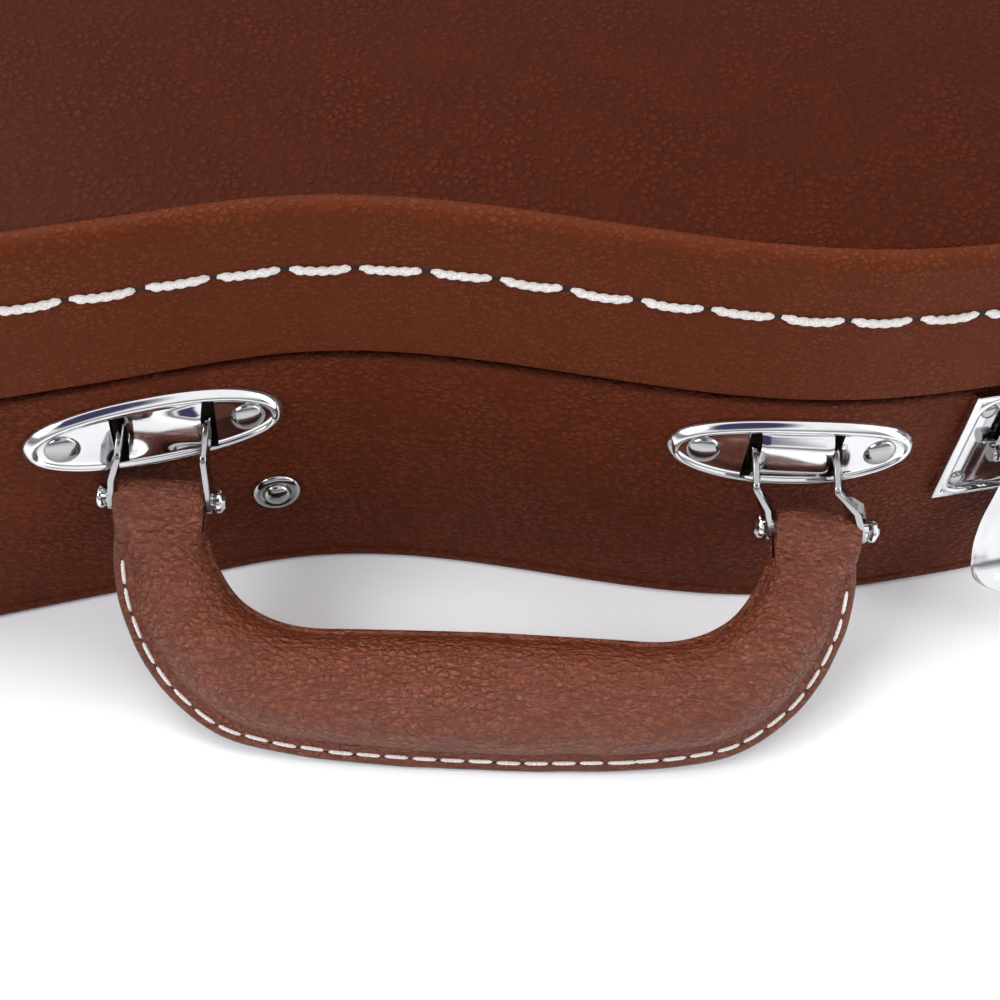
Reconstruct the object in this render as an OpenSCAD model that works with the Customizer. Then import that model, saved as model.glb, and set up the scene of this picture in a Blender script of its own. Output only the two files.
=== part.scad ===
// Hardshell guitar case, lying flat on its back with the lid up.
// X runs along the case towards the headstock end, -Y is the handle side, Z is up.
// Origin: underside, on the centreline, at mid-length. Millimetres.

/* [Shell] */
// Height of the body half, floor to parting line
body_h = 82; // [70:1:95]
// Height of the rim above the floor
rim_h = 126; // [115:1:140]
// Wall thickness of the body half, plywood and cover
wall_t = 7; // [5:0.5:9]
// How far the lid band stands proud of the body wall
lid_proud = 1.5; // [0.5:0.5:2.5]
// Gap at the parting line
parting_gap = 0.5; // [0.4:0.1:1]
// Rise of the arched top above its edge
arch_rise = 16; // [6:1:22]
// Samples per spline span along the outline
outline_steps = 3; // [2:1:4]

/* [Lining] */
// Thickness of the padding on the floor of the case
floor_pad = 10; // [5:1:15]
// Inner reach of the side padding from the outline
side_pad = 17; // [14:1:24]
// Height of the compartment under the neck
pocket_top = 52; // [45:1:54]

/* [Handle] */
// Distance between the two handle pins
pin_span = 165; // [150:1:175]
// Handle centre along the case, from mid-length
handle_x = -178.35; // [-190:0.05:-165]
// Distance of the pin axis from the centreline
pin_y = 183; // [180:0.5:188]
// Height of the pin axis
pin_z = 47.7; // [45:0.1:52]
// Pin radius
pin_r = 2; // [1.5:0.1:2.5]
// Radial running clearance of the pins
run = 0.05; // [0.02:0.01:0.1]
// Lean of the handle below horizontal
lean = 45; // [40:1:50]

/* [Hardware] */
// Half width of a latch base
latch_hw = 23; // [18:1:26]
// Latch pivot radius
latch_r = 1.1; // [1:0.1:1.6]
// Radius of the hinge pin
hinge_r = 1.25; // [1:0.05:1.6]
// Radius of the hinge knuckles
knuckle_r = 3; // [2.6:0.1:3.6]
// Length of one hinge
hinge_len = 46; // [36:1:60]

/* [Hidden] */
$fn = 24;
xo = -205;
leather = "SaddleBrown"; metal = "Silver"; plush = "DimGray";

// Half outline, control points of a closed cubic spline, mirrored about the centreline
half_cp = [[-337,0],[-337,57],[-326,136],[-290,183],[-240,207],[-190,216],[-140,202],[-100,188],[-60,176],[-25,163],[10,162],[45,167],[80,172],[115,172],[150,163],[185,155],[215,133],[240,109],[268,86],[305,75],[360,71],[430,70],[500,69],[570,67],[615,68],[650,77],[690,85],[728,86],[747,42],[747,0]];
nh = len(half_cp);
cp = concat([for (p = half_cp) [p[0] + xo, p[1]]], [for (i = [nh - 2:-1:1]) [half_cp[i][0] + xo, -half_cp[i][1]]]);
nc = len(cp);
function bs(a, b, c, d, t) = (pow(1 - t, 3) * a + (3 * t * t * t - 6 * t * t + 4) * b + (-3 * t * t * t + 3 * t * t + 3 * t + 1) * c + t * t * t * d) / 6;
P = [for (i = [0:nc - 1]) for (k = [0:outline_steps - 1]) bs(cp[(i + nc - 1) % nc], cp[i], cp[(i + 1) % nc], cp[(i + 2) % nc], k / outline_steps)];
n = len(P);
N = [for (i = [0:n - 1]) let (t = P[(i + 1) % n] - P[(i + n - 1) % n], l = norm(t)) [-t[1] / l, t[0] / l]];
function off(o) = [for (i = [0:n - 1]) P[i] + o * N[i]];
tab = [for (i = [1:n / 2 - 1]) [P[i][0], P[i][1]]];
function w(x) = lookup(x, tab);
function slope(x) = (w(x + 4) - w(x - 4)) / 8;

ob = -lid_proud / 2;      // body outer face
ol = lid_proud / 2;       // lid outer face
ib = ob - wall_t;         // body inner face
il = ib + 1.5;            // lid inner face
lid_z = body_h + parting_gap;

module slab(o, z0, z1) { translate([0, 0, z0]) linear_extrude(z1 - z0) polygon(off(o)); }
module ring(o0, o1, z0, z1) { difference() { slab(o1, z0, z1); slab(o0, z0 - 1, z1 + 1); } }
// Profile of [offset, height] points, anticlockwise, carried round the outline
module sweep(pr) {
  m = len(pr);
  polyhedron(points = [for (i = [0:n - 1]) for (q = pr) [P[i][0] + q[0] * N[i][0], P[i][1] + q[0] * N[i][1], q[1]]],
    faces = [for (i = [0:n - 1]) for (j = [0:m - 1]) let (i2 = (i + 1) % n, j2 = (j + 1) % m, a = i * m + j, b = i2 * m + j, c = i2 * m + j2, d = i * m + j2)
      each ((pr[j][0] == pr[j2][0] || pr[j][1] == pr[j2][1]) ? [[a, b, c, d]] : [[a, b, c], [a, c, d]])]);
}
module at_side(x) { translate([x, -w(x) - ob, 0]) rotate([0, 0, -atan(slope(x))]) children(); }
module rod(x0, x1, y, z, r) { translate([x0, y, z]) rotate([0, 90, 0]) cylinder(h = x1 - x0, r = r); }

// ---- body shell
module bottom_panel() color(leather) slab(ib - 0.05, 0, 5);
module body_side_wall() color(leather) difference() {
  sweep([[ib, 0], [-3.5, 0], [-1.5, 1], [ob, 3.2], [ob, 4.6], [ob - 0.5, 5], [ob, 5.6], [ob, body_h - 0.8], [ob - 0.6, body_h], [ib, body_h]]);
  at_side(plate_xl) translate([-18.5, -4, 53.5]) cube([37, 10.3, 17.5]);
  at_side(plate_xr) translate([-18.5, -4, 53.5]) cube([37, 8, 17.5]);
}
module locating_lip() color("Tan") sweep([[ib - 2.6, 66], [ib - 0.05, 66], [ib - 0.05, 89], [ib - 1, 90], [ib - 2.6, 90]]);
module bottom_liner() color(plush) slab(ib - 0.1, 5.05, 5 + floor_pad);
module side_liner() color(plush) sweep([[-side_pad, 15.2], [ib - 0.1, 15.2], [ib - 0.1, 65.8], [ib - 2.7, 65.8], [ib - 2.7, 85], [-side_pad, 85]]);

// ---- inside fittings along the neck
px0 = 300 + xo; px1 = 352 + xo; px2 = 404.3 + xo; nx0 = 445 + xo; nx1 = 500 + xo;
module neck_cradle() color(plush) difference() {
  translate([nx0, -50, 15.2]) cube([nx1 - nx0, 100, 62]);
  rod(nx0 - 1, nx1 + 1, 0, 92, 34);
}
module pocket_walls() color(plush) {
  translate([px0, -51, 15.2]) cube([6, 102, pocket_top - 15.5]);
  translate([px2, -51, 15.2]) cube([6, 102, pocket_top - 15.5]);
}
module pocket_cover() color(plush) translate([px0, -51, pocket_top]) cube([px1 - px0, 102, 3]);
pk_x = px1 + 3;
module pocket_lid() color(plush) { translate([pk_x, -50, pocket_top]) cube([50, 100, 3]); translate([pk_x, -50, pocket_top + 3]) rotate([-90, 0, 0]) cylinder(h = 100, r = 1.2); }
module pocket_tab() color(plush) translate([pk_x + 38, -7, pocket_top + 3.02]) cube([15, 14, 1.2]);

// ---- hinge line on the spine side
hs = -0.1442; ha = atan(hs); hb = 193.6; hz = body_h + parting_gap / 2;
function hy(x) = hb + hs * (x - xo);
hinge_x = [-185 + xo, 116 + xo, 702 + xo];
module at_hinge(x) { translate([x, hy(x), 0]) rotate([0, 0, ha]) children(); }
module knuckle(x0, x1) { rod(x0, x1, 0, hz, knuckle_r); }
module leaf(x, o, z0, z1) { intersection() { ring(o, o + 1.2, z0, z1); translate([x - hinge_len / 2, 0, z0 - 1]) cube([hinge_len, 260, z1 - z0 + 2]); } }
// The knuckle runs back to the wall by a short web
module hinge_side(x, o, z0, z1, seg, lo) {
  leaf(x, o, z0, z1);
  difference() {
    at_hinge(x) for (s = seg) { knuckle(s[0], s[1]); translate([s[0], -20, lo ? hz - 2.6 : hz + 0.6]) cube([s[1] - s[0], 20, 2]); }
    slab(o + 0.6, 60, 110);
    at_hinge(x) rod(-30, 30, 0, hz, hinge_r + run);
  }
}
module hinge_body_leaves() color(metal) for (x = hinge_x) hinge_side(x, ob + 0.03, 56, hz - 0.6, [[-21, -13], [-4, 4], [13, 21]], true);
module hinge_lid_leaves() color(metal) for (x = hinge_x) hinge_side(x, ol + 0.03, hz + 0.6, 108, [[-12.6, -4.4], [4.4, 12.6]], false);
module hinge_pins() color(metal) for (x = hinge_x) at_hinge(x) { rod(-21.5, 21.5, 0, hz, hinge_r); rod(-22.6, -21.05, 0, hz, 2.2); rod(21.05, 22.6, 0, hz, 2.2); }
module spine_feet() color("DarkSlateGray") for (x = [-225 + xo, -150 + xo, 92 + xo, 142 + xo]) translate([x, w(x) + ob / cos(atan(slope(x))), 34]) rotate([0, 0, atan(slope(x))]) translate([0, 0.35, 0]) rotate([-90, 0, 0]) { cylinder(h = 12, r1 = 11, r2 = 9); translate([0, 0, 12]) cylinder(h = 1.5, r1 = 9, r2 = 7); }

// ---- lid shell
module lid_side_band() color(leather) sweep([[il, lid_z], [ol - 0.5, lid_z], [ol, lid_z + 0.7], [ol, rim_h - 5.2], [il, rim_h - 5.2]]);
module lid_edge_bead() color(leather) sweep([[il, rim_h - 5.15], [ol, rim_h - 5.15], [ol, rim_h - 3.2], [ol - 0.7, rim_h - 1.2], [ol - 2, rim_h - 0.2], [ol - 3.4, rim_h], [ol - 5, rim_h - 0.6], [ol - 6.4, rim_h - 2], [il, rim_h - 3.8]]);
pa = -190 + xo; pb = 690 + xo; te = rim_h - 4;
function mid(x) = min(max(x, pa), pb);
function dome(i, s, o, z) = let (q = P[i] + o * N[i], m = mid(q[0]), d = (1 - s) * norm([q[0] - m, q[1]])) [m + (q[0] - m) * s, q[1] * s, z + arch_rise * (1 - pow(1 - min(1, d / 200), 2))];
rs = [1, 0.9, 0.76, 0.58, 0.36, 0.12];
module lid_top_panel() {
  o = il - 0.05; k = len(rs); h = n / 2;
  color(leather) polyhedron(points = concat([for (s = rs) for (i = [0:n - 1]) dome(i, s, o, te)], [for (s = rs) for (i = [0:n - 1]) dome(i, s, o, te - 4)]),
    faces = concat(
      [for (r = [0:k - 2]) for (i = [0:n - 1]) let (i2 = (i + 1) % n, a = r * n + i, b = r * n + i2, c = (r + 1) * n + i2, d = (r + 1) * n + i) each [[a, b, c], [a, c, d]]],
      [for (r = [0:k - 2]) for (i = [0:n - 1]) let (i2 = (i + 1) % n, u = k * n, a = u + r * n + i, b = u + r * n + i2, c = u + (r + 1) * n + i2, d = u + (r + 1) * n + i) each [[a, c, b], [a, d, c]]],
      [for (i = [0:n - 1]) let (i2 = (i + 1) % n) [i, k * n + i, k * n + i2, i2]],
      [for (i = [0:h - 1]) let (u = (k - 1) * n, a = u + i, b = u + i + 1, c = u + (n - i - 1) % n, d = u + (n - i) % n) each cross_tris(a, b, c, d, false)],
      [for (i = [0:h - 1]) let (u = (2 * k - 1) * n, a = u + i, b = u + i + 1, c = u + (n - i - 1) % n, d = u + (n - i) % n) each cross_tris(a, b, c, d, true)]));
}
function cross_tris(a, b, c, d, flip) = let (f = concat(a == d ? [] : [[a, b, d]], b == c ? [] : [[b, c, d]])) [for (t = f) flip ? [t[0], t[2], t[1]] : t];
module lid_liner() color(plush) difference() { slab(il - 0.05, 92, te - 4.1); slab(-16, 91, 109); }

// ---- latches: drawn with -Y outwards
latch_at = [[-190, 0], [166, 0], [430, 0], [-337, -90], [747, 90]];
module at_latch(k) {
  q = latch_at[k - 1];
  if (q[1] == 0) at_side(q[0] + xo) children();
  else translate([q[0] + xo - sign(q[1]) * (-ob) , 0, 0]) rotate([0, 0, q[1]]) children();
}
az = 72; an = 6.4; bz = 60.5; bn = 4.2; cz = 95; cn = 4.6;
module bent_plate(k, o, hw, z0, z1) { intersection() { ring(o, o + 1.2, z0, z1); at_latch(k) translate([-hw, -10, z0 - 1]) cube([2 * hw, 30, z1 - z0 + 2]); } }
module latch_base(k) color(metal) {
  difference() {
    union() {
      bent_plate(k, ob + 0.02, latch_hw, 42, 80);
      difference() { bent_plate(k, ob + 1.2, latch_hw, 42, 80); at_latch(k) translate([-latch_hw + 1.8, -10, 43.8]) cube([2 * latch_hw - 3.6, 30, 34.4]); }
      at_latch(k) for (s = [-6, 4]) { rod(s, s + 2, -an, az, 1.7); translate([s, -an, az - 1.7]) cube([2, an - 0.9, 3.4]); }
    }
    at_latch(k) rod(-8, 8, -an, az, latch_r + run);
  }
}
module latch_lever(k) color(metal) at_latch(k) {
  for (s = [-10, 8.2]) { rod(s, s + 1.8, -an, az, 3); rod(s, s + 1.8, -bn, bz, 2.4); translate([s, -9, bz]) cube([1.8, 5.8, az - bz]); }
  rod(-9, 9, -an, az, latch_r);
  for (s = [-13.2, 9.9]) rod(s, s + 3.3, -bn, bz, latch_r);
  for (s = [-13.8, 12.9]) rod(s, s + 0.9, -bn, bz, 2);
  translate([-10, 0, 0]) rotate([90, 0, 90]) linear_extrude(20) polygon([[-8.4, 74], [-8.4, 38], [-10, 29], [-14, 22], [-20, 18.5], [-20.6, 19.6], [-15, 23], [-11.2, 29.6], [-9.7, 38], [-9.7, 73], [-9.3, 74]]);
}
module latch_hook(k) color(metal) at_latch(k) difference() {
  union() {
    for (s = [-12.4, 10.4]) { rod(s, s + 2, -bn, bz, 2.3); hull() { rod(s, s + 2, -bn, bz, 1.2); rod(s, s + 2, -cn, cz, 1.3); } }
    rod(-12.4, 12.4, -cn, cz, 1.3);
  }
  rod(-14, 14, -bn, bz, latch_r + run);
}
module latch_catch(k) color(metal) {
  bent_plate(k, ol + 0.02, 15, 84, 106);
  at_latch(k) { translate([-9.5, -7.4, 90]) cube([19, 5.2, 3.4]); }
}
module latch_base_1() latch_base(1); module latch_base_2() latch_base(2); module latch_base_3() latch_base(3); module latch_base_4() latch_base(4); module latch_base_5() latch_base(5);
module latch_lever_1() latch_lever(1); module latch_lever_2() latch_lever(2); module latch_lever_3() latch_lever(3); module latch_lever_4() latch_lever(4); module latch_lever_5() latch_lever(5);
module latch_hook_1() latch_hook(1); module latch_hook_2() latch_hook(2); module latch_hook_3() latch_hook(3); module latch_hook_4() latch_hook(4); module latch_hook_5() latch_hook(5);
module latch_catch_1() latch_catch(1); module latch_catch_2() latch_catch(2); module latch_catch_3() latch_catch(3); module latch_catch_4() latch_catch(4); module latch_catch_5() latch_catch(5);

// ---- handle mounts
plate_xl = -56.8 + xo; plate_xr = 101 + xo; plate_z = 62.9; scr = 22.5;
pv_y = -172.5; pv_z = 63.7; pv_r = 1.4; el_y = -180.8; el_z = 60.5; kn_y = -182.2; kn_z = 55.4;
module stadium(h, r, hl, z) { rotate([90, 0, 0]) { translate([-hl, 0, z]) cylinder(h = h, r = r); translate([hl, 0, z]) cylinder(h = h, r = r); translate([-hl, -r, z]) cube([2 * hl, 2 * r, h]); } }
module handle_plate(x, cx) color(metal) difference() {
  union() {
    intersection() { ring(ob + 0.02, ob + 1.6, 48, 78); at_side(x) translate([0, 0, plate_z]) stadium(20, 11.5, 20.4, -10); }
    difference() {
      intersection() { ring(ob + 1.5, ob + 2.4, 48, 78); at_side(x) translate([0, 0, plate_z]) stadium(20, 11.5, 20.4, -10); }
      at_side(x) translate([0, 0, plate_z]) stadium(22, 8.9, 20.4, -11);
    }
    intersection() {
      at_side(x) translate([-5.5, -8, pv_z]) cube([11, 7.6, 8.6]);
      translate([cx - 5.5, pv_y - 3.2, 55]) cube([11, 9, 20]);
    }
    rod(cx - 5.5, cx + 5.5, pv_y, pv_z, 3.2);
  }
  difference() {
    at_side(x) translate([-18, -12, 54]) cube([36, 18, 16.6]);
    translate([cx - 5.5, pv_y - 3.3, pv_z]) cube([11, 12, 12]);
    rod(cx - 5.5, cx + 5.5, pv_y, pv_z, 3.2);
  }
  rod(cx - 20, cx + 20, pv_y, pv_z, pv_r + run);
  for (s = [-scr, scr]) at_rivet(x, s) translate([0, 0, -3]) cylinder(h = 9, r = 1.58);
}
module handle_plate_left() handle_plate(plate_xl, -54.55 + xo);
module handle_plate_right() handle_plate(plate_xr, 101 + xo);
module plate_rivets() color(metal) for (x = [plate_xl, plate_xr]) for (s = [-scr, scr]) at_rivet(x, s) {
  translate([0, 0, 0.05]) cylinder(h = 1.55, r = 1.5);
  translate([0, 0, 1.9]) { cylinder(h = 0.7, r = 4.2); translate([0, 0, 0.7]) cylinder(h = 0.9, r1 = 4.2, r2 = 3); translate([0, 0, 1.6]) cylinder(h = 0.4, r1 = 3, r2 = 1.4); }
  translate([0, 0, 1.5]) cylinder(h = 0.6, r = 1.5);
}
module at_rivet(x, s) { xx = x + s * cos(atan(slope(x))); translate([xx, -w(xx) - ob / cos(atan(slope(xx))), plate_z]) rotate([90, 0, -atan(slope(xx))]) children(); }
module side_washer() color(metal) at_side(-29.9 + xo) translate([0, 0, 31.4]) rotate([90, 0, 0]) translate([0, 0, 0.2]) difference() { union() { cylinder(h = 0.9, r = 6.4); translate([0, 0, 0.9]) cylinder(h = 0.9, r1 = 6.4, r2 = 4.4); } translate([0, 0, -1]) cylinder(h = 5, r = 2.3); }
module side_rivet() color(metal) at_side(-29.9 + xo) translate([0, 0, 31.4]) rotate([90, 0, 0]) { translate([0, 0, 0.02]) cylinder(h = 2.2, r = 2.2); translate([0, 0, 2.05]) cylinder(h = 0.9, r = 3.8); translate([0, 0, 2.95]) cylinder(h = 0.7, r1 = 3.8, r2 = 2.2); }

// ---- bails: two strap ears, a pivot rod behind the plate and a pin through the handle loop
module ear(x0, x1) {
  xe = x0 + 0.3 * (x1 - x0);
  hull() { rod(x0 - 0.8, x0 + 0.8, pv_y, pv_z, 2.4); rod(xe - 0.8, xe + 0.8, el_y, el_z, 1.8); }
  hull() { rod(xe - 0.8, xe + 0.8, el_y, el_z, 1.8); rod(x1 - 0.8, x1 + 0.8, kn_y, kn_z, 1.8); }
  hull() { rod(x1 - 0.8, x1 + 0.8, kn_y, kn_z, 1.8); rod(x1 - 0.8, x1 + 0.8, -pin_y, pin_z, 1.9); }
  rod(x1 - 0.8, x1 + 0.8, -pin_y, pin_z, 3.4);
}
module bail(cx, pc) color(metal) difference() {
  union() { ear(cx - 10.2, pc - 12.1); ear(cx + 10.2, pc + 12.1); rod(cx - 10.2, cx + 10.2, pv_y, pv_z, pv_r); }
  rod(pc - 20, pc + 20, -pin_y, pin_z, pin_r + run);
}
pcl = handle_x - pin_span / 2; pcr = handle_x + pin_span / 2;
module bail_left() bail(-54.55 + xo, pcl);
module bail_right() bail(101 + xo, pcr);
module bail_pin(pc) color(metal) { rod(pc - 14, pc + 14, -pin_y, pin_z, pin_r); for (s = [-1, 1]) translate([pc + s * 13.3, -pin_y, pin_z]) rotate([0, s * 90, 0]) { cylinder(h = 0.8, r1 = 2.4, r2 = 3.1); translate([0, 0, 0.8]) cylinder(h = 0.9, r = 3.1); translate([0, 0, 1.7]) cylinder(h = 1, r1 = 3.1, r2 = 1.8); } }
module bail_pin_left() bail_pin(pcl);
module bail_pin_right() bail_pin(pcr);

// ---- handle, drawn in its own plane: x along the case, y away from the pins, z through the thickness
module in_handle() { multmatrix([[1, 0, 0, handle_x], [0, -cos(lean), sin(lean), -pin_y], [0, -sin(lean), -cos(lean), pin_z], [0, 0, 0, 1]]) children(); }
gi = [[71.5, 8], [70.3, 13], [67.5, 19], [63.5, 24.5], [58.5, 28.2], [52, 30.8], [44, 32], [32, 31.8], [16, 31.5], [0, 31.3]];
go = [[93, 8], [90, 16], [87.5, 27], [82.5, 37.5], [75.5, 46.5], [65.5, 54], [54.5, 57.8], [39, 60], [19, 61.2], [0, 61.5]];
gw = [[93.6, 8], [93.8, 16], [91.8, 27.5], [86.5, 40], [79, 50], [68, 58.5], [56.5, 62.2], [41, 64.5], [20, 65.7], [0, 66]];
gh = [4.6, 6.5, 8.5, 10, 11, 11.5, 12, 12.3, 12.5, 12.5];
function both(l) = concat([for (i = [0:8]) [-l[i][0], l[i][1]]], [for (i = [9:-1:0]) l[i]]);
hh = concat([for (i = [0:8]) gh[i]], [for (i = [9:-1:0]) gh[i]]);
module tube(rings) {
  m = len(rings[0]); k = len(rings);
  polyhedron(points = [for (r = rings) for (p = r) p], faces = concat(
    [[for (j = [0:m - 1]) j]], [[for (j = [m - 1:-1:0]) (k - 1) * m + j]],
    [for (i = [0:k - 2]) for (j = [0:m - 1]) let (j2 = (j + 1) % m, a = i * m + j, b = i * m + j2, c = (i + 1) * m + j2, d = (i + 1) * m + j) each [[a, c, b], [a, d, c]]]));
}
module handle_grip() {
  A = both(gi); B = both(go); W = both(gw);
  color(leather) in_handle() {
    tube([for (i = [0:len(A) - 1]) [for (j = [0:11]) let (c = (A[i] + B[i]) / 2, d = (B[i] - A[i]) / 2, q = cos(j * 30), s = sin(j * 30)) [c[0] + d[0] * q, c[1] + d[1] * q, hh[i] * s]]]);
    tube([for (i = [0:len(A) - 1]) let (d = (B[i] - A[i]) / norm(B[i] - A[i]), v = B[i] - 5 * d) [[v[0], v[1], -1.1], [W[i][0], W[i][1], -1.1], [W[i][0], W[i][1], 1.1], [v[0], v[1], 1.1]]]);
  }
}
module handle_loop(s) color(leather) in_handle() difference() {
  union() { translate([s * pin_span / 2 - 10.9, 0, 0]) rotate([0, 90, 0]) cylinder(h = 21.8, r = 4.8); translate([s * pin_span / 2 - 10.9, 0, -4.4]) cube([21.8, 7.95, 8.8]); }
  translate([s * pin_span / 2 - 20, 0, 0]) rotate([0, 90, 0]) cylinder(h = 40, r = pin_r + run);
}
module handle_loop_left() handle_loop(-1);
module handle_loop_right() handle_loop(1);

bottom_panel();
body_side_wall();
locating_lip();
bottom_liner();
side_liner();
neck_cradle();
pocket_walls();
pocket_cover();
spine_feet();
hinge_body_leaves();
hinge_pins();
latch_base_1();
latch_base_2();
latch_base_3();
latch_base_4();
latch_base_5();
handle_plate_left();
handle_plate_right();
plate_rivets();
side_rivet();
side_washer();
lid_top_panel();
lid_side_band();
lid_edge_bead();
lid_liner();
hinge_lid_leaves();
latch_catch_1();
latch_catch_2();
latch_catch_3();
latch_catch_4();
latch_catch_5();
latch_lever_1();
latch_lever_2();
latch_lever_3();
latch_lever_4();
latch_lever_5();
latch_hook_1();
latch_hook_2();
latch_hook_3();
latch_hook_4();
latch_hook_5();
bail_left();
bail_right();
bail_pin_left();
bail_pin_right();
handle_grip();
handle_loop_left();
handle_loop_right();
pocket_lid();
pocket_tab();
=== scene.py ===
import math
import random

import bpy
import bmesh
import numpy as np
from mathutils import Matrix, Vector, noise


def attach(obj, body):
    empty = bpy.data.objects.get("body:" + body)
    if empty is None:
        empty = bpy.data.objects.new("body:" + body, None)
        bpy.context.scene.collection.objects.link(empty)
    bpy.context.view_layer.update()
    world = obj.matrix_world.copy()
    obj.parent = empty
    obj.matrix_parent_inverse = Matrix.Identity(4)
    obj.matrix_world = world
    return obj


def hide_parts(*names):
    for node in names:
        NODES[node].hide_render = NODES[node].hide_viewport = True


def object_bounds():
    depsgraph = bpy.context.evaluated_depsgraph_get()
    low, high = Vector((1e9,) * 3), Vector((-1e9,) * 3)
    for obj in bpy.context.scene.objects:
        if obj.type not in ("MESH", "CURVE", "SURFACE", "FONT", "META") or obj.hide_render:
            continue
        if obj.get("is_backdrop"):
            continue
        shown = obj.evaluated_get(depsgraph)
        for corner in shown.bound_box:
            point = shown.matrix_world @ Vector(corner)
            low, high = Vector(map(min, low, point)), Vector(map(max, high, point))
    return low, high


rng = random.Random(496)
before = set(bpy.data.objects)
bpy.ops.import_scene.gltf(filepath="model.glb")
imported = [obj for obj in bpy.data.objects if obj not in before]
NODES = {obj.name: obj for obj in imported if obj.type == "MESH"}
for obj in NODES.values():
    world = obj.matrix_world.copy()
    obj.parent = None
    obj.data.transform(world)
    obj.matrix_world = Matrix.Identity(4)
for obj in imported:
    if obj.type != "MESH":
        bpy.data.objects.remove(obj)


def size_now():
    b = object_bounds()
    try:
        return [[float(x) for x in c] for c in b]
    except TypeError:
        return str(b)


sizes = {"cad": size_now()}
sc = bpy.context.scene
MM = 0.001

# ------------------------------------------------------------------ materials


class Mat:
    def __init__(self, name):
        self.m = bpy.data.materials.new(name)
        self.m.use_nodes = True
        self.t = self.m.node_tree
        self.t.nodes.clear()
        self.out = self.t.nodes.new("ShaderNodeOutputMaterial")
        self.b = self.t.nodes.new("ShaderNodeBsdfPrincipled")
        self.t.links.new(self.b.outputs[0], self.out.inputs[0])
        self.co = None

    def coords(self, kind="Object"):
        if self.co is None:
            self.co = self.t.nodes.new("ShaderNodeTexCoord")
        return self.co.outputs[kind]

    def link(self, a, b):
        self.t.links.new(a, b)

    def mapped(self, scale=(1, 1, 1), rot=(0, 0, 0), kind="Object"):
        n = self.t.nodes.new("ShaderNodeMapping")
        n.inputs["Scale"].default_value = scale
        n.inputs["Rotation"].default_value = rot
        self.link(self.coords(kind), n.inputs[0])
        return n.outputs[0]

    def noise(self, vec, scale, detail=3.0, rough=0.5, dist=0.0, out="Fac"):
        n = self.t.nodes.new("ShaderNodeTexNoise")
        n.inputs["Scale"].default_value = scale
        n.inputs["Detail"].default_value = detail
        n.inputs["Roughness"].default_value = rough
        n.inputs["Distortion"].default_value = dist
        self.link(vec, n.inputs["Vector"])
        return n.outputs["Color" if out == "Color" else 0]

    def voronoi(self, vec, scale, feature="F1", smooth=None, rand=1.0, out="Distance"):
        n = self.t.nodes.new("ShaderNodeTexVoronoi")
        n.feature = feature
        n.inputs["Scale"].default_value = scale
        n.inputs["Randomness"].default_value = rand
        if smooth is not None and "Smoothness" in n.inputs:
            n.inputs["Smoothness"].default_value = smooth
        self.link(vec, n.inputs["Vector"])
        return n.outputs[out]

    def math(self, op, a, b=None, c=None, clamp=False):
        n = self.t.nodes.new("ShaderNodeMath")
        n.operation = op
        n.use_clamp = clamp
        for i, v in enumerate((a, b, c)):
            if v is None:
                continue
            if isinstance(v, (int, float)):
                n.inputs[i].default_value = v
            else:
                self.link(v, n.inputs[i])
        return n.outputs[0]

    def vadd(self, a, b, k):
        s = self.t.nodes.new("ShaderNodeVectorMath")
        s.operation = "SCALE"
        self.link(b, s.inputs[0])
        s.inputs["Scale"].default_value = k
        n = self.t.nodes.new("ShaderNodeVectorMath")
        n.operation = "ADD"
        self.link(a, n.inputs[0])
        self.link(s.outputs[0], n.inputs[1])
        return n.outputs[0]

    def ramp(self, fac, stops):
        n = self.t.nodes.new("ShaderNodeValToRGB")
        e = n.color_ramp.elements
        while len(e) < len(stops):
            e.new(0.5)
        for i, (p, c) in enumerate(stops):
            e[i].position = p
            e[i].color = (*c, 1) if len(c) == 3 else c
        self.link(fac, n.inputs[0])
        return n.outputs[0]

    def rng(self, v, a, b, c, d):
        n = self.t.nodes.new("ShaderNodeMapRange")
        n.clamp = True
        for i, x in enumerate((a, b, c, d)):
            n.inputs[i + 1].default_value = x
        self.link(v, n.inputs[0])
        return n.outputs[0]

    def mix(self, fac, a, b, mode="MIX"):
        n = self.t.nodes.new("ShaderNodeMix")
        n.data_type = "RGBA"
        n.blend_type = mode
        if isinstance(fac, (int, float)):
            n.inputs[0].default_value = fac
        else:
            self.link(fac, n.inputs[0])
        for i, v in ((6, a), (7, b)):
            if isinstance(v, tuple):
                n.inputs[i].default_value = (*v, 1)
            else:
                self.link(v, n.inputs[i])
        return n.outputs[2]

    def bump(self, h, dist, strength=1.0, normal=None):
        n = self.t.nodes.new("ShaderNodeBump")
        n.inputs["Strength"].default_value = strength
        n.inputs["Distance"].default_value = dist
        self.link(h, n.inputs["Height"])
        if normal is not None:
            self.link(normal, n.inputs["Normal"])
        return n.outputs[0]

    def set(self, **kw):
        for k, v in kw.items():
            s = self.b.inputs[k.replace("_", " ")]
            if isinstance(v, (int, float)):
                s.default_value = v
            elif isinstance(v, tuple):
                s.default_value = (*v, 1) if len(v) == 3 and s.type == "RGBA" else v
            else:
                self.link(v, s)
        return self


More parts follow.
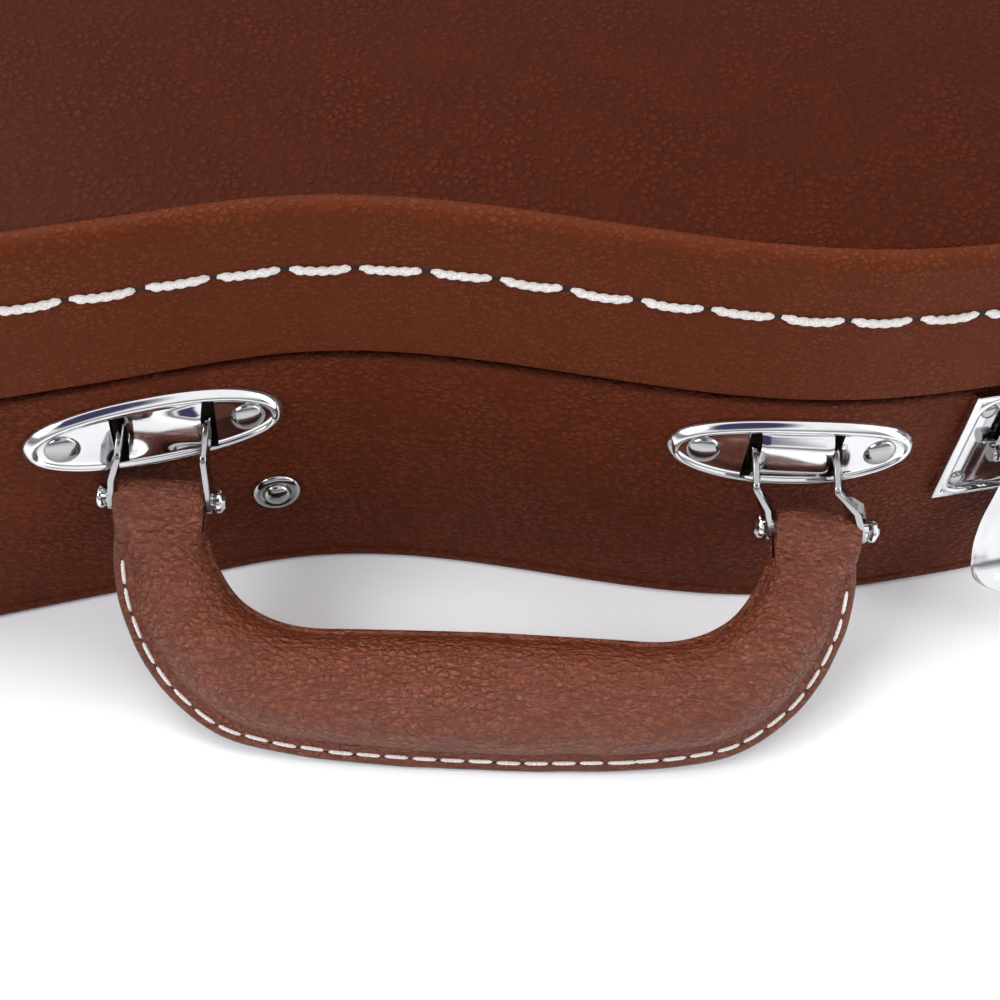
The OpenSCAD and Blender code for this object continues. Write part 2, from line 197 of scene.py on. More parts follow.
def leather(name, lo, mid, hi, cell, depth, rough=(0.42, 0.6), stretch=(1, 1, 1), wrinkle=0.0, sheen=0.0, tint=(0.6, 0.5, 0.6), spec=0.3, line=None):
    m = Mat(name)
    base = m.mapped(stretch)
    warp = m.vadd(base, m.noise(base, 0.5 / cell, 2, 0.55, out="Color"), cell * 1.1)
    # soft pebbles at two sizes, with the creases between them only where the patches are coarse
    dome = m.rng(m.voronoi(warp, 1 / cell, "SMOOTH_F1", 0.35), 0.05, 0.62, 1, 0)
    dome2 = m.rng(m.voronoi(warp, 2.1 / cell, "SMOOTH_F1", 0.5), 0.05, 0.6, 1, 0)
    crease = m.rng(m.voronoi(warp, 1 / cell, "DISTANCE_TO_EDGE"), 0.0, 0.16, 0, 1)
    patch = m.noise(base, 0.1 / cell, 2, 0.5)
    fine = m.noise(base, 6.0 / cell, 3, 0.6)
    h = m.math("MULTIPLY_ADD", dome2, 0.28, m.math("MULTIPLY", dome, 0.55))
    h = m.math("MULTIPLY_ADD", m.math("MULTIPLY", crease, m.rng(patch, 0.38, 0.62, 0.12, 1.0)), 0.26, h)
    h = m.math("MULTIPLY_ADD", fine, 0.10, h)
    if wrinkle:
        wv = m.mapped((stretch[0] * 0.5, stretch[1] * 1.3, stretch[2] * 1.3), (0.5, 0.3, 0.6))
        wr = m.noise(wv, 0.55 / cell, 3, 0.55, 1.2)
        h = m.math("MULTIPLY_ADD", m.rng(wr, 0.34, 0.60, 0, 1), wrinkle, h)
    n1 = m.bump(h, depth, 1.0)
    n2 = m.bump(m.noise(base, 0.12 / cell, 2, 0.5), depth * 3, 0.5, n1)
    tone = m.noise(m.mapped(), 14, 4, 0.6)
    blot = m.noise(m.mapped(), 60, 3, 0.6)
    # colour follows the grain height: darker in the creases as painted shade, lighter on the pebble tops
    col = m.ramp(m.rng(h, 0.30, 1.0, 0, 1), [(0.0, lo), (0.5, mid), (1.0, hi)])
    col = m.mix(m.rng(tone, 0.35, 0.7, 0.0, 0.25), col, tuple(c * 0.78 for c in mid))
    col = m.mix(m.rng(blot, 0.45, 0.75, 0.0, 0.15), col, tuple(min(1, c * 1.3) for c in mid))
    if line:
        # painted shade along the parting: darker with height, standing in for the shadow line under the lid's edge
        sep = m.t.nodes.new("ShaderNodeSeparateXYZ")
        m.link(m.mapped(), sep.inputs[0])
        col = m.mix(m.rng(sep.outputs[2], line[0], line[1], 0, line[2]), col, tuple(c * 0.22 for c in lo))
    r = m.rng(h, 0.2, 1.0, rough[1], rough[0])
    m.set(Base_Color=col, Roughness=r, Normal=n2, IOR=1.5, Specular_IOR_Level=spec, Coat_Weight=0.03, Coat_Roughness=0.3, Sheen_Weight=sheen, Sheen_Roughness=0.45)
    m.b.inputs["Sheen Tint"].default_value = (*tint, 1)
    return m.m


def metal(name, col=(0.86, 0.86, 0.85), rough=0.07, scratch=0.05, wave=0.00005):
    m = Mat(name)
    v = m.mapped()
    sm = m.noise(v, 140, 3, 0.6)
    sc1 = m.noise(m.mapped((40, 900, 300), (0.3, 0.2, 0.7)), 1.6, 2, 0.5)
    r = m.math("ADD", m.rng(sm, 0.35, 0.75, rough, rough + scratch), m.rng(sc1, 0.62, 0.75, 0, 0.08))
    c = m.mix(m.rng(m.noise(v, 420, 2, 0.5), 0.55, 0.8, 0, 0.25), col, tuple(x * 0.72 for x in col))
    b = m.bump(m.noise(v, 90, 2, 0.5), wave, 0.6)
    m.set(Base_Color=c, Roughness=r, Metallic=1.0, Normal=b)
    return m.m


def simple(name, col, rough, noise_scale=400, amount=0.25, bump=0.0, **kw):
    m = Mat(name)
    v = m.mapped()
    n = m.noise(v, noise_scale, 4, 0.6)
    c = m.mix(m.rng(n, 0.3, 0.7, 0, amount), col, tuple(x * 0.55 for x in col))
    m.set(Base_Color=c, Roughness=m.rng(n, 0.3, 0.7, rough, min(1, rough + 0.12)))
    if bump:
        m.set(Normal=m.bump(n, bump, 1.0))
    for k, x in kw.items():
        m.set(**{k: x})
    return m.m


def plush(name, col):
    m = Mat(name)
    v = m.mapped()
    fib = m.noise(m.mapped((900, 900, 350)), 1.6, 4, 0.7)
    tuft = m.noise(v, 120, 3, 0.6)
    nap = m.noise(v, 18, 3, 0.6)
    h = m.math("MULTIPLY_ADD", tuft, 0.6, fib)
    c = m.ramp(m.rng(h, 0.5, 1.1, 0, 1), [(0, tuple(x * 0.35 for x in col)), (0.55, col), (1, tuple(min(1, x * 1.7) for x in col))])
    c = m.mix(m.rng(nap, 0.4, 0.65, 0, 0.4), c, tuple(x * 1.35 for x in col))
    m.set(Base_Color=c, Roughness=0.95, Normal=m.bump(h, 0.0011, 1.0), Sheen_Weight=0.7, Sheen_Roughness=0.4)
    m.b.inputs["Sheen Tint"].default_value = (min(1, col[0] * 4), min(1, col[1] * 4), min(1, col[2] * 4), 1)
    return m.m


M_LID = leather("leather_lid", (0.078, 0.0145, 0.0034), (0.110, 0.0230, 0.0056), (0.138, 0.0310, 0.0090), 0.0016, 0.00046, (0.40, 0.60), (1, 1, 1.25), spec=0.06)
# top panel: the same leather as the band, painted about half as dark as painted shade on the upward-facing panel
M_TOP_SHADED = leather("leather_top_painted_shade", (0.038, 0.0055, 0.0010), (0.054, 0.0078, 0.0015), (0.070, 0.0118, 0.0030), 0.0020, 0.00060, (0.42, 0.60), spec=0.04)
# the body leather carries painted shade near the parting (line = z range and depth of the darkening)
M_BODY = leather("leather_body", (0.070, 0.0115, 0.0025), (0.104, 0.0175, 0.0038), (0.134, 0.0265, 0.0075), 0.0022, 0.00095, (0.33, 0.56), (1, 1, 1.5), 0.2, spec=0.06, line=(0.0784, 0.0808, 0.93))
M_HANDLE = leather("leather_handle", (0.098, 0.0200, 0.0064), (0.136, 0.0290, 0.0096), (0.178, 0.0450, 0.0180), 0.0019, 0.00088, (0.24, 0.48), (0.85, 1.15, 1.15), 0.35, 0.0, (0.75, 0.62, 0.72), spec=0.32)
M_EDGE = simple("welt_edge", (0.075, 0.028, 0.018), 0.45, 900, 0.5, 0.00012)
# needle holes: near-black discs as painted shade inside the holes
M_HOLE = simple("needle_hole", (0.012, 0.006, 0.004), 0.9)
M_CHROME = metal("chrome", (0.66, 0.66, 0.67))
# the same chrome with its colour darkened: painted shade standing in for the dark reflections on the bail ears; also
# rougher with more scratches
M_CHROME2 = metal("chrome_painted_dark", (0.36, 0.36, 0.365), 0.10, 0.08, 0.00008)
# dark brownish colour for the plate slots and pocket walls: painted shade of leather in shadow
M_SLOT_SHADE = simple("slot_painted_shade", (0.034, 0.014, 0.008), 0.6)
M_PLUSH = plush("plush", (0.080, 0.052, 0.034))
M_RUBBER = simple("rubber", (0.018, 0.018, 0.019), 0.6, 700, 0.3, 0.00008)
M_TAPE = simple("tab_ribbon", (0.10, 0.045, 0.03), 0.7, 1500, 0.4, 0.0001)


def thread_mat():
    m = Mat("thread")
    v = m.mapped()
    n = m.noise(v, 2600, 3, 0.7)
    big = m.noise(v, 90, 2, 0.5)
    c = m.ramp(n, [(0.3, (0.40, 0.37, 0.34)), (0.55, (0.70, 0.68, 0.66)), (0.8, (0.86, 0.85, 0.84))])
    c = m.mix(m.rng(big, 0.5, 0.75, 0, 0.3), c, (0.55, 0.45, 0.36))
    m.set(Base_Color=c, Roughness=0.8, Normal=m.bump(n, 0.00012, 0.8), Sheen_Weight=0.25, Sheen_Roughness=0.5)
    return m.m


M_THREAD = thread_mat()


def wood_mat():
    m = Mat("plywood")
    v = m.mapped((1, 1, 1))
    g = m.noise(m.mapped((6, 6, 160)), 9, 5, 0.6, 0.4)
    ply = m.noise(m.mapped((1, 1, 620)), 1.0, 1, 0.5)
    c = m.ramp(g, [(0.25, (0.30, 0.18, 0.09)), (0.55, (0.48, 0.32, 0.18)), (0.8, (0.60, 0.43, 0.27))])
    c = m.mix(m.rng(ply, 0.45, 0.6, 0, 0.5), c, (0.26, 0.15, 0.08))
    m.set(Base_Color=c, Roughness=0.65, Normal=m.bump(g, 0.0001, 0.7))
    return m.m


M_WOOD = wood_mat()

# ------------------------------------------------------------------ outline
XO = -205.0
HALF = [(-337, 0), (-337, 57), (-326, 136), (-290, 183), (-240, 207), (-190, 216), (-140, 202), (-100, 188), (-60, 176), (-25, 163), (10, 162), (45, 167), (80, 172), (115, 172), (150, 163), (185, 155), (215, 133), (240, 109), (268, 86), (305, 75), (360, 71), (430, 70), (500, 69), (570, 67), (615, 68), (650, 77), (690, 85), (728, 86), (747, 42), (747, 0)]


def outline(steps):
    c = np.array(HALF, float)
    c[:, 0] += XO
    full = np.concatenate([c, (c[1:-1] * [1, -1])[::-1]])
    n = len(full)
    pts = []
    for i in range(n):
        a, b, d, e = full[(i - 1) % n], full[i], full[(i + 1) % n], full[(i + 2) % n]
        for k in range(steps):
            t = k / steps
            pts.append(((1 - t) ** 3 * a + (3 * t ** 3 - 6 * t * t + 4) * b + (-3 * t ** 3 + 3 * t * t + 3 * t + 1) * d + t ** 3 * e) / 6)
    return np.array(pts)


STEPS = 16
F = outline(STEPS)
K = len(F)
T = np.roll(F, -1, 0) - np.roll(F, 1, 0)
T /= np.linalg.norm(T, axis=1)[:, None]
NF = np.stack([-T[:, 1], T[:, 0]], 1)
SEG = np.linalg.norm(np.roll(F, -1, 0) - F, axis=1)
S = np.concatenate([[0], np.cumsum(SEG)])
PERIM = S[-1]


def along(s):
    """Point, tangent and normal of the outline at arc length s (mm)."""
    s = s % PERIM
    i = int(np.searchsorted(S, s, side="right") - 1) % K
    t = (s - S[i]) / SEG[i]
    p = F[i] * (1 - t) + F[(i + 1) % K] * t
    n = NF[i] * (1 - t) + NF[(i + 1) % K] * t
    n /= np.linalg.norm(n)
    return p, np.array([n[1], -n[0]]), n


order = np.argsort(F[F[:, 1] > 0][:, 0])
_H = F[F[:, 1] > 0][order]


def w(x):
    return float(np.interp(x, _H[:, 0], _H[:, 1]))


def slope(x):
    return (w(x + 4) - w(x - 4)) / 8


OB, OL = -0.75, 0.75
IB = OB - 7
IL = IB + 1.5


def new_obj(name, verts, faces, mats, body, smooth=True, replaces=(), uv=None, mat_index=None):
    me = bpy.data.meshes.new(name)
    v = np.asarray(verts, float) * MM
    me.from_pydata(v.tolist(), [], [list(map(int, f)) for f in faces])
    me.validate()
    for m in mats if isinstance(mats, (list, tuple)) else [mats]:
        me.materials.append(m)
    if mat_index is not None:
        me.polygons.foreach_set("material_index", np.asarray(mat_index, np.int32))
    me.polygons.foreach_set("use_smooth", np.full(len(me.polygons), bool(smooth)))
    o = bpy.data.objects.new(name, me)
    sc.collection.objects.link(o)
    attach(o, body)
    if replaces:
        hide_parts(*replaces)
    return o


def fix_normals(o):
    bm = bmesh.new()
    bm.from_mesh(o.data)
    bmesh.ops.recalc_face_normals(bm, faces=bm.faces)
    bm.to_mesh(o.data)
    bm.free()
    o.data.update()


def smooth_angle(o, deg=35):
    """Sharp edges where faces meet at more than deg, smooth elsewhere."""
    me = o.data
    me.polygons.foreach_set("use_smooth", np.ones(len(me.polygons), bool))
    bm = bmesh.new()
    bm.from_mesh(me)
    lim = math.radians(deg)
    for e in bm.edges:
        e.smooth = len(e.link_faces) == 2 and e.calc_face_angle(0) < lim
    bm.to_mesh(me)
    bm.free()


def closed_sweep(name, profile, mats, body, disp=None, replaces=(), zone=None):
    """Carries an anticlockwise [offset, height] profile round the outline (mm)."""
    pr = np.asarray(profile, float)
    m = len(pr)
    verts = np.zeros((K, m, 3))
    verts[:, :, 0] = F[:, None, 0] + NF[:, None, 0] * pr[None, :, 0]
    verts[:, :, 1] = F[:, None, 1] + NF[:, None, 1] * pr[None, :, 0]
    verts[:, :, 2] = pr[None, :, 1]
    if disp is not None:
        for j in range(m):
            a = disp[j]
            if a == 0:
                continue
            for i in range(K):
                q = verts[i, j]
                d = noise.noise(Vector((q[0] / 23.0, q[1] / 23.0, q[2] / 17.0))) * a
                verts[i, j, 0] += NF[i, 0] * d
                verts[i, j, 1] += NF[i, 1] * d
    i = np.arange(K)
    i2 = (i + 1) % K
    faces = []
    mi = []
    for j in range(m):
        j2 = (j + 1) % m
        faces.append(np.stack([i * m + j, i2 * m + j, i2 * m + j2, i * m + j2], 1)[:, ::-1])
        mi.append(np.full(K, zone[j] if zone else 0))
    o = new_obj(name, verts.reshape(-1, 3), np.concatenate(faces), mats, body, True, replaces, mat_index=np.concatenate(mi))
    fix_normals(o)
    smooth_angle(o, 40)
    return o


def arc(cx, cz, r, a0, a1, n):
    return [(cx + r * math.cos(math.radians(a0 + (a1 - a0) * k / n)), cz + r * math.sin(math.radians(a0 + (a1 - a0) * k / n))) for k in range(n + 1)]


def lin(a, b, n):
    return [(a[0] + (b[0] - a[0]) * k / n, a[1] + (b[1] - a[1]) * k / n) for k in range(1, n)]


# ------------------------------------------------------------------ shell meshes
# body wall: rounded lower edge, a faint ridge where the bottom cover is turned up, rounded lip at the parting
pr = [(IB, 0.0), (-6, 0.0), (-3.6, 0.0)] + arc(-3.4, 2.65, 2.65, -80, -8, 6)
pr += [(OB + 0.02, 3.6), (OB + 0.10, 4.0), (OB - 0.02, 4.4), (OB - 0.32, 4.7), (OB - 0.34, 5.0), (OB - 0.05, 5.5), (OB, 6.2)]
n_low = len(pr)
pr += lin((OB, 6.2), (OB, 79.2), 24) + [(OB, 79.2), (OB - 0.25, 79.75), (OB - 0.9, 80.15), (OB - 1.7, 80.4), (OB - 1.9, 81.0), (OB - 1.9, 82.0), (OB - 4.5, 82.0), (IB, 82.0), (IB, 60.0), (IB, 20.0)]
dis = [0.0] * n_low + [0.22] * 23 + [0.1] + [0.0] * (len(pr) - n_low - 24)
zone = [0] * len(pr)
for j in range(len(pr) - 4, len(pr)):
    zone[j] = 1
body_wall = closed_sweep("body_wall_cover", pr, [M_BODY, M_WOOD], "body", dis, ["body_side_wall"], zone)

# recesses behind the handle plates; their walls take the dark slot colour as painted shade
PXL, PXR = -56.8 + XO, 101 + XO


def side_matrix(x):
    a = -math.atan(slope(x))
    return Matrix.Translation(Vector((x * MM, (-w(x) - OB) * MM, 0))) @ Matrix.Rotation(a, 4, "Z")


def cut_boxes(o, boxes):
    cutters = []
    for x, lo, hi in boxes:
        me = bpy.data.meshes.new("cut")
        vs = [(a, b, c) for a in (lo[0], hi[0]) for b in (lo[1], hi[1]) for c in (lo[2], hi[2])]
        me.from_pydata([[q * MM for q in v] for v in vs], [], [(0, 1, 3, 2), (4, 6, 7, 5), (0, 4, 5, 1), (2, 3, 7, 6), (0, 2, 6, 4), (1, 5, 7, 3)])
        me.materials.append(M_SLOT_SHADE)
        c = bpy.data.objects.new("cut", me)
        sc.collection.objects.link(c)
        c.matrix_world = side_matrix(x)
        cutters.append(c)
    bpy.context.view_layer.update()
    for c in cutters:
        md = o.modifiers.new("cut", "BOOLEAN")
        md.operation = "DIFFERENCE"
        md.object = c
        md.solver = "EXACT"
        if hasattr(md, "material_mode"):
            md.material_mode = "TRANSFER"
    dg = bpy.context.evaluated_depsgraph_get()
    me = bpy.data.meshes.new_from_object(o.evaluated_get(dg))
    o.modifiers.clear()
    old = o.data
    o.data = me
    bpy.data.meshes.remove(old)
    for c in cutters:
        bpy.data.objects.remove(c)


cut_boxes(body_wall, [(PXL, (-18.3, -4, 53.7), (18.3, 5.9, 70.8)), (PXR, (-18.3, -4, 53.7), (18.3, 3.9, 70.8))])

# lid band with its rounded rim, one wrapped piece of leather, and the step down to the top panel
pr = [(IL, 82.5), (-3.0, 82.5), (OL - 0.9, 82.5), (OL - 0.3, 82.75), (OL - 0.05, 83.2), (OL, 83.9)]
n0 = len(pr)
pr += lin((OL, 83.9), (OL, 107.1), 10) + [(OL, 107.1), (OL - 0.06, 107.7), (OL - 0.2, 108.1), (OL - 0.24, 108.45), (OL - 0.2, 108.8), (OL - 0.06, 109.2), (OL, 109.8)]
n1 = len(pr)
pr += lin((OL, 109.8), (OL, 122.3), 6) + [(OL, 122.3)]
n2 = len(pr)
pr += arc(OL - 3.4, 122.6, 3.4, 8, 90, 8)[0:] + [(OL - 4.4, 125.75), (OL - 5.2, 125.0), (OL - 5.7, 123.8), (OL - 6.1, 122.2), (IL + 0.15, 120.4), (IL, 118.0), (IL, 100.0)]
dis = [0.0] * n0 + [0.13] * (n2 - n0) + [0.05] * 6 + [0.0] * (len(pr) - n2 - 6)
zone = [0] * len(pr)
lid_band = closed_sweep("lid_band_cover", pr, [M_LID, M_WOOD], "lid", dis, ["lid_side_band", "lid_edge_bead"], zone)

# arched top
PA, PB = -190 + XO, 690 + XO


def dome_point(i, s, o, z):
    q = F[i] + NF[i] * o
    m = min(max(q[0], PA), PB)
    d = (1 - s) * math.hypot(q[0] - m, q[1])
    zz = z + 16 * (1 - (1 - min(1, d / 200)) ** 2)
    return (m + (q[0] - m) * s, q[1] * s, zz)


def build_top():
    idx = list(range(0, K, 2))
    n = len(idx)
    ss = [1.0, 0.995, 0.985, 0.97, 0.95, 0.92, 0.88, 0.83, 0.77, 0.7, 0.62, 0.53, 0.43, 0.32, 0.2, 0.1]
    verts = []
    for r, s in enumerate(ss):
        for i in idx:
            p = dome_point(i, s, IL - 0.06, 122)
            dz = 0.0
            if r == 0:
                dz = -1.2
            elif r == 1:
                dz = -0.25
            else:
                dz = 0.35 * noise.noise(Vector((p[0] / 60, p[1] / 60, 3.0)))
            verts.append((p[0], p[1], p[2] + dz))
    k = len(ss)
    for s in (1.0, 0.6, 0.1):
        for i in idx:
            verts.append(dome_point(i, s, IL - 0.06, 118.0))
    faces = []
    for r in range(k - 1):
        for i in range(n):
            i2 = (i + 1) % n
            faces.append((r * n + i, r * n + i2, (r + 1) * n + i2, (r + 1) * n + i))
    u = k * n
    for r in range(2):
        for i in range(n):
            i2 = (i + 1) % n
            faces.append((u + r * n + i, u + (r + 1) * n + i, u + (r + 1) * n + i2, u + r * n + i2))
    for i in range(n):
        i2 = (i + 1) % n
        faces.append((i, u + i, u + i2, i2))
    for base, flip in (((k - 1) * n, False), (u + 2 * n, True)):
        for i in range(n // 2):
            a, b, c, d = base + i, base + i + 1, base + (n - i - 1) % n, base + (n - i) % n
            f = [a, b, c, d]
            f = [x for q, x in enumerate(f) if x not in f[:q]]
            if len(f) > 2:
                faces.append(tuple(reversed(f)) if flip else tuple(f))
    o = new_obj("lid_top_cover", verts, faces, M_TOP_SHADED, "lid", True, ["lid_top_panel"])
    fix_normals(o)
    smooth_angle(o, 40)
    return o


build_top()

# ------------------------------------------------------------------ stitches


def tube(points, radii, ring=8, twist=0.0, ply=0.0, flat=1.0, up=None):
    """Rings round a path; ply makes two-strand thread, twisting by twist radians per mm. Returns verts, faces (mm)."""
    P = np.asarray(points, float)
    n = len(P)
    tan = np.gradient(P, axis=0)
    tan /= np.linalg.norm(tan, axis=1)[:, None]
    up = np.array([0, 0, 1.0]) if up is None else np.asarray(up, float)
    verts = []
    L = np.concatenate([[0], np.cumsum(np.linalg.norm(np.diff(P, axis=0), axis=1))])
    for i in range(n):
        a = np.cross(tan[i], up if up.ndim == 1 else up[i])
        a /= np.linalg.norm(a) + 1e-9
        b = np.cross(a, tan[i])
        for k in range(ring):
            th = 2 * math.pi * k / ring
            r = radii[i] * (1 - ply + ply * abs(math.cos(th - twist * L[i])) * 1.6 if ply else 1)
            verts.append(P[i] + a * (math.cos(th) * r) + b * (math.sin(th) * r * flat))
    faces = []
    for i in range(n - 1):
        for k in range(ring):
            k2 = (k + 1) % ring
            faces.append((i * ring + k, i * ring + k2, (i + 1) * ring + k2, (i + 1) * ring + k))
    faces.append(tuple(range(ring))[::-1])
    faces.append(tuple((n - 1) * ring + k for k in range(ring)))
    return verts, faces


def merge(parts):
    V, Fs, o = [], [], 0
    for v, f in parts:
        V.extend(v)
        Fs.extend(tuple(x + o for x in q) for q in f)
        o += len(v)
    return V, Fs


def pit(c, nrm, tan, r, e=1.0):
    """A small disc in the dark needle-hole colour, painted shade of the hole, slightly domed inwards, at c."""
    nrm, tan = np.asarray(nrm, float), np.asarray(tan, float)
    b = np.cross(nrm, tan)
    v = [c + nrm * 0.02 + tan * (math.cos(t) * r * e) + b * (math.sin(t) * r) for t in np.linspace(0, 2 * math.pi, 10, endpoint=False)]
    v.append(np.asarray(c) + nrm * 0.05)
    return v, [(k, (k + 1) % 10, 10) for k in range(10)]


def band_stitches():
    count = int(round(PERIM / 16.0))
    period = PERIM / count
    # put a gap between stitches where one is seen on the handle side
    i0 = int(np.argmin((F[:, 0] - (-178.35)) ** 2 + (F[:, 1] + 160) ** 2))
    s0 = S[i0] + 1.9
    parts, holes = [], []
    for q in range(count):
        sa = s0 + q * period + 1.15 + rng.uniform(-0.25, 0.25)
        sb = s0 + (q + 1) * period - 1.15 + rng.uniform(-0.25, 0.25)
        sag = rng.uniform(0.25, 0.75)
        za, zb = 109.0 + rng.uniform(-0.2, 0.2), 109.0 + rng.uniform(-0.2, 0.2)
        pts, rad = [], []
        n = 16
        for k in range(n + 1):
            t = k / n
            p, tg, nr = along(sa + (sb - sa) * t)
            lift = 0.62 * math.sin(math.pi * min(1, t * 5) / 2) * math.sin(math.pi * min(1, (1 - t) * 5) / 2) - 0.42
            o = OL + lift + 0.25
            z = za + (zb - za) * t - sag * math.sin(math.pi * t)
            pts.append((p[0] + nr[0] * o, p[1] + nr[1] * o, z))
            rad.append(0.92 * (0.55 + 0.45 * math.sin(math.pi * min(1, 0.12 + t * 6) / 2) * math.sin(math.pi * min(1, 0.12 + (1 - t) * 6) / 2)))
        parts.append(tube(pts, rad, 12, 1.15, 0.34))
        for s_, z_ in ((sa - 0.25, za), (sb + 0.25, zb)):
            p, tg, nr = along(s_)
            holes.append(pit(np.array([p[0] + nr[0] * (OL - 0.02), p[1] + nr[1] * (OL - 0.02), z_ - 0.05]), (nr[0], nr[1], 0), (tg[0], tg[1], 0), 0.85, 1.25))
    v, f = merge(parts)
    o = new_obj("lid_stitches", v, f, M_THREAD, "lid")
    fix_normals(o)
    v, f = merge(holes)
    new_obj("lid_stitch_holes", v, f, M_HOLE, "lid")


band_stitches()

# ------------------------------------------------------------------ handle
HX, PY, PZ = -178.35, 183.0, 47.7
C45 = math.cos(math.radians(45))


def hpt(x, y, z):
    return np.array([HX + x, -PY - y * C45 + z * C45, PZ - y * C45 - z * C45])


GI = [(71.5, 8), (70.3, 13), (67.5, 19), (63.5, 24.5), (58.5, 28.2), (52, 30.8), (44, 32), (32, 31.8), (16, 31.5), (0, 31.3)]
GO = [(93, 8), (90, 16), (87.5, 27), (82.5, 37.5), (75.5, 46.5), (65.5, 54), (54.5, 57.8), (39, 60), (19, 61.2), (0, 61.5)]
GW = [(93.6, 8), (93.8, 16), (91.8, 27.5), (86.5, 40), (79, 50), (68, 58.5), (56.5, 62.2), (41, 64.5), (20, 65.7), (0, 66)]
GH = [5.2, 6.8, 8.6, 10, 11, 11.5, 12, 12.3, 12.5, 12.5]


def both(l):
    l = [np.array(p, float) for p in l]
    return [p * [-1, 1] for p in l[:-1]] + [l[-1]] + l[:-1][::-1]


def fine(curve, n):
    """Catmull-Rom through the points, n per span."""
    c = np.asarray(curve, float)
    if c.ndim == 1:
        c = c[:, None]
    e = np.concatenate([[2 * c[0] - c[1]], c, [2 * c[-1] - c[-2]]])
    out = []
    for i in range(len(c) - 1):
        p0, p1, p2, p3 = e[i:i + 4]
        for k in range(n):
            t = k / n
            out.append(0.5 * (2 * p1 + (p2 - p0) * t + (2 * p0 - 5 * p1 + 4 * p2 - p3) * t * t + (3 * p1 - p0 - 3 * p2 + p3) * t ** 3))
    out.append(c[-1])
    return np.array(out)


NS = 9
A, B, W = fine(both(GI), NS), fine(both(GO), NS), fine(both(GW), NS)
HH = fine(GH[:-1] + [GH[-1]] + GH[:-1][::-1], NS)[:, 0]
NST = len(A)


def build_grip():
    ring = 44
    verts, faces, mi = [], [], []
    for i in range(NST):
        a, b, wv = A[i], B[i], W[i]
        d = (b - a) / np.linalg.norm(b - a)
        half = np.linalg.norm(b - a) / 2
        c = (a + b) / 2
        wl = float(np.dot(wv - c, d))
        for k in range(ring):
            th = 2 * math.pi * k / ring
            q, s = math.cos(th), math.sin(th)
            u = half * (abs(q) ** 0.92) * (1 if q >= 0 else -1)
            z = HH[i] * (abs(s) ** 0.86) * (1 if s >= 0 else -1)
            p = c + d * u
            P3 = hpt(p[0], p[1], z)
            nn = noise.noise(Vector((p[0] / 15, p[1] / 15, z / 9))) * 0.55 + noise.noise(Vector((p[0] / 6, p[1] / 4, z / 3))) * 0.12
            rad = hpt(*(c + d * u / max(half, 1)), z / max(HH[i], 1)) - hpt(c[0], c[1], 0)
            rad = rad / (np.linalg.norm(rad) + 1e-6)
            fade = min(1.0, min(i, NST - 1 - i) / 6)
            verts.append(P3 + rad * (nn - 0.25) * fade)
    for i in range(NST - 1):
        for k in range(ring):
            k2 = (k + 1) % ring
            faces.append((i * ring + k, i * ring + k2, (i + 1) * ring + k2, (i + 1) * ring + k))
    faces.append(tuple(range(ring))[::-1])
    faces.append(tuple((NST - 1) * ring + k for k in range(ring)))
    o = new_obj("handle_grip_padded", verts, faces, M_HANDLE, "handle", True, ["handle_grip"])
    fix_normals(o)
    smooth_angle(o, 60)

    # flat welt: two layers of leather, burnished edge, blended into the grip
    prof = [(-6.5, 3.4), (-3.6, 2.2), (-1.8, 1.45), (-0.5, 1.25), (0.0, 0.9), (0.12, 0.25), (0.02, 0.0), (0.12, -0.25), (0.0, -0.9), (-0.5, -1.25), (-1.8, -1.45), (-3.6, -2.2), (-6.5, -3.4)]
    m = len(prof)
    verts, faces, mi = [], [], []
    for i in range(NST):
        a, b, wv = A[i], B[i], W[i]
        tdir = W[min(i + 1, NST - 1)] - W[max(i - 1, 0)]
        tdir /= np.linalg.norm(tdir)
        nd = np.array([-tdir[1], tdir[0]])
        if np.dot(nd, wv - a) < 0:
            nd = -nd
        wob = 0.18 * noise.noise(Vector((wv[0] / 9, wv[1] / 9, 7)))
        for u, z in prof:
            p = wv + nd * (u + wob - 0.1)
            verts.append(hpt(p[0], p[1], z * (0.93 if abs(z) < 2 else 1)))
    for i in range(NST - 1):
        for k in range(m):
            k2 = (k + 1) % m
            faces.append((i * m + k, i * m + k2, (i + 1) * m + k2, (i + 1) * m + k))
            mi.append(1 if 3 <= k <= 8 else 0)
    faces.append(tuple(range(m))[::-1])
    faces.append(tuple((NST - 1) * m + k for k in range(m)))
    mi += [1, 1]
    o = new_obj("handle_welt", verts, faces, [M_HANDLE, M_EDGE], "handle", True, (), mat_index=mi)
    fix_normals(o)
    smooth_angle(o, 50)

    # raised seam along the inner edge
    pts = []
    for i in range(4, NST - 4):
        a, b = A[i], B[i]
        d = (b - a) / np.linalg.norm(b - a)
        p = a - d * (-0.35)
        pts.append(hpt(p[0], p[1], 0.6))
    v, f = tube(pts, [1.15] * len(pts), 12)
    o = new_obj("handle_inner_seam", v, f, M_HANDLE, "handle", True, ())
    fix_normals(o)


build_grip()


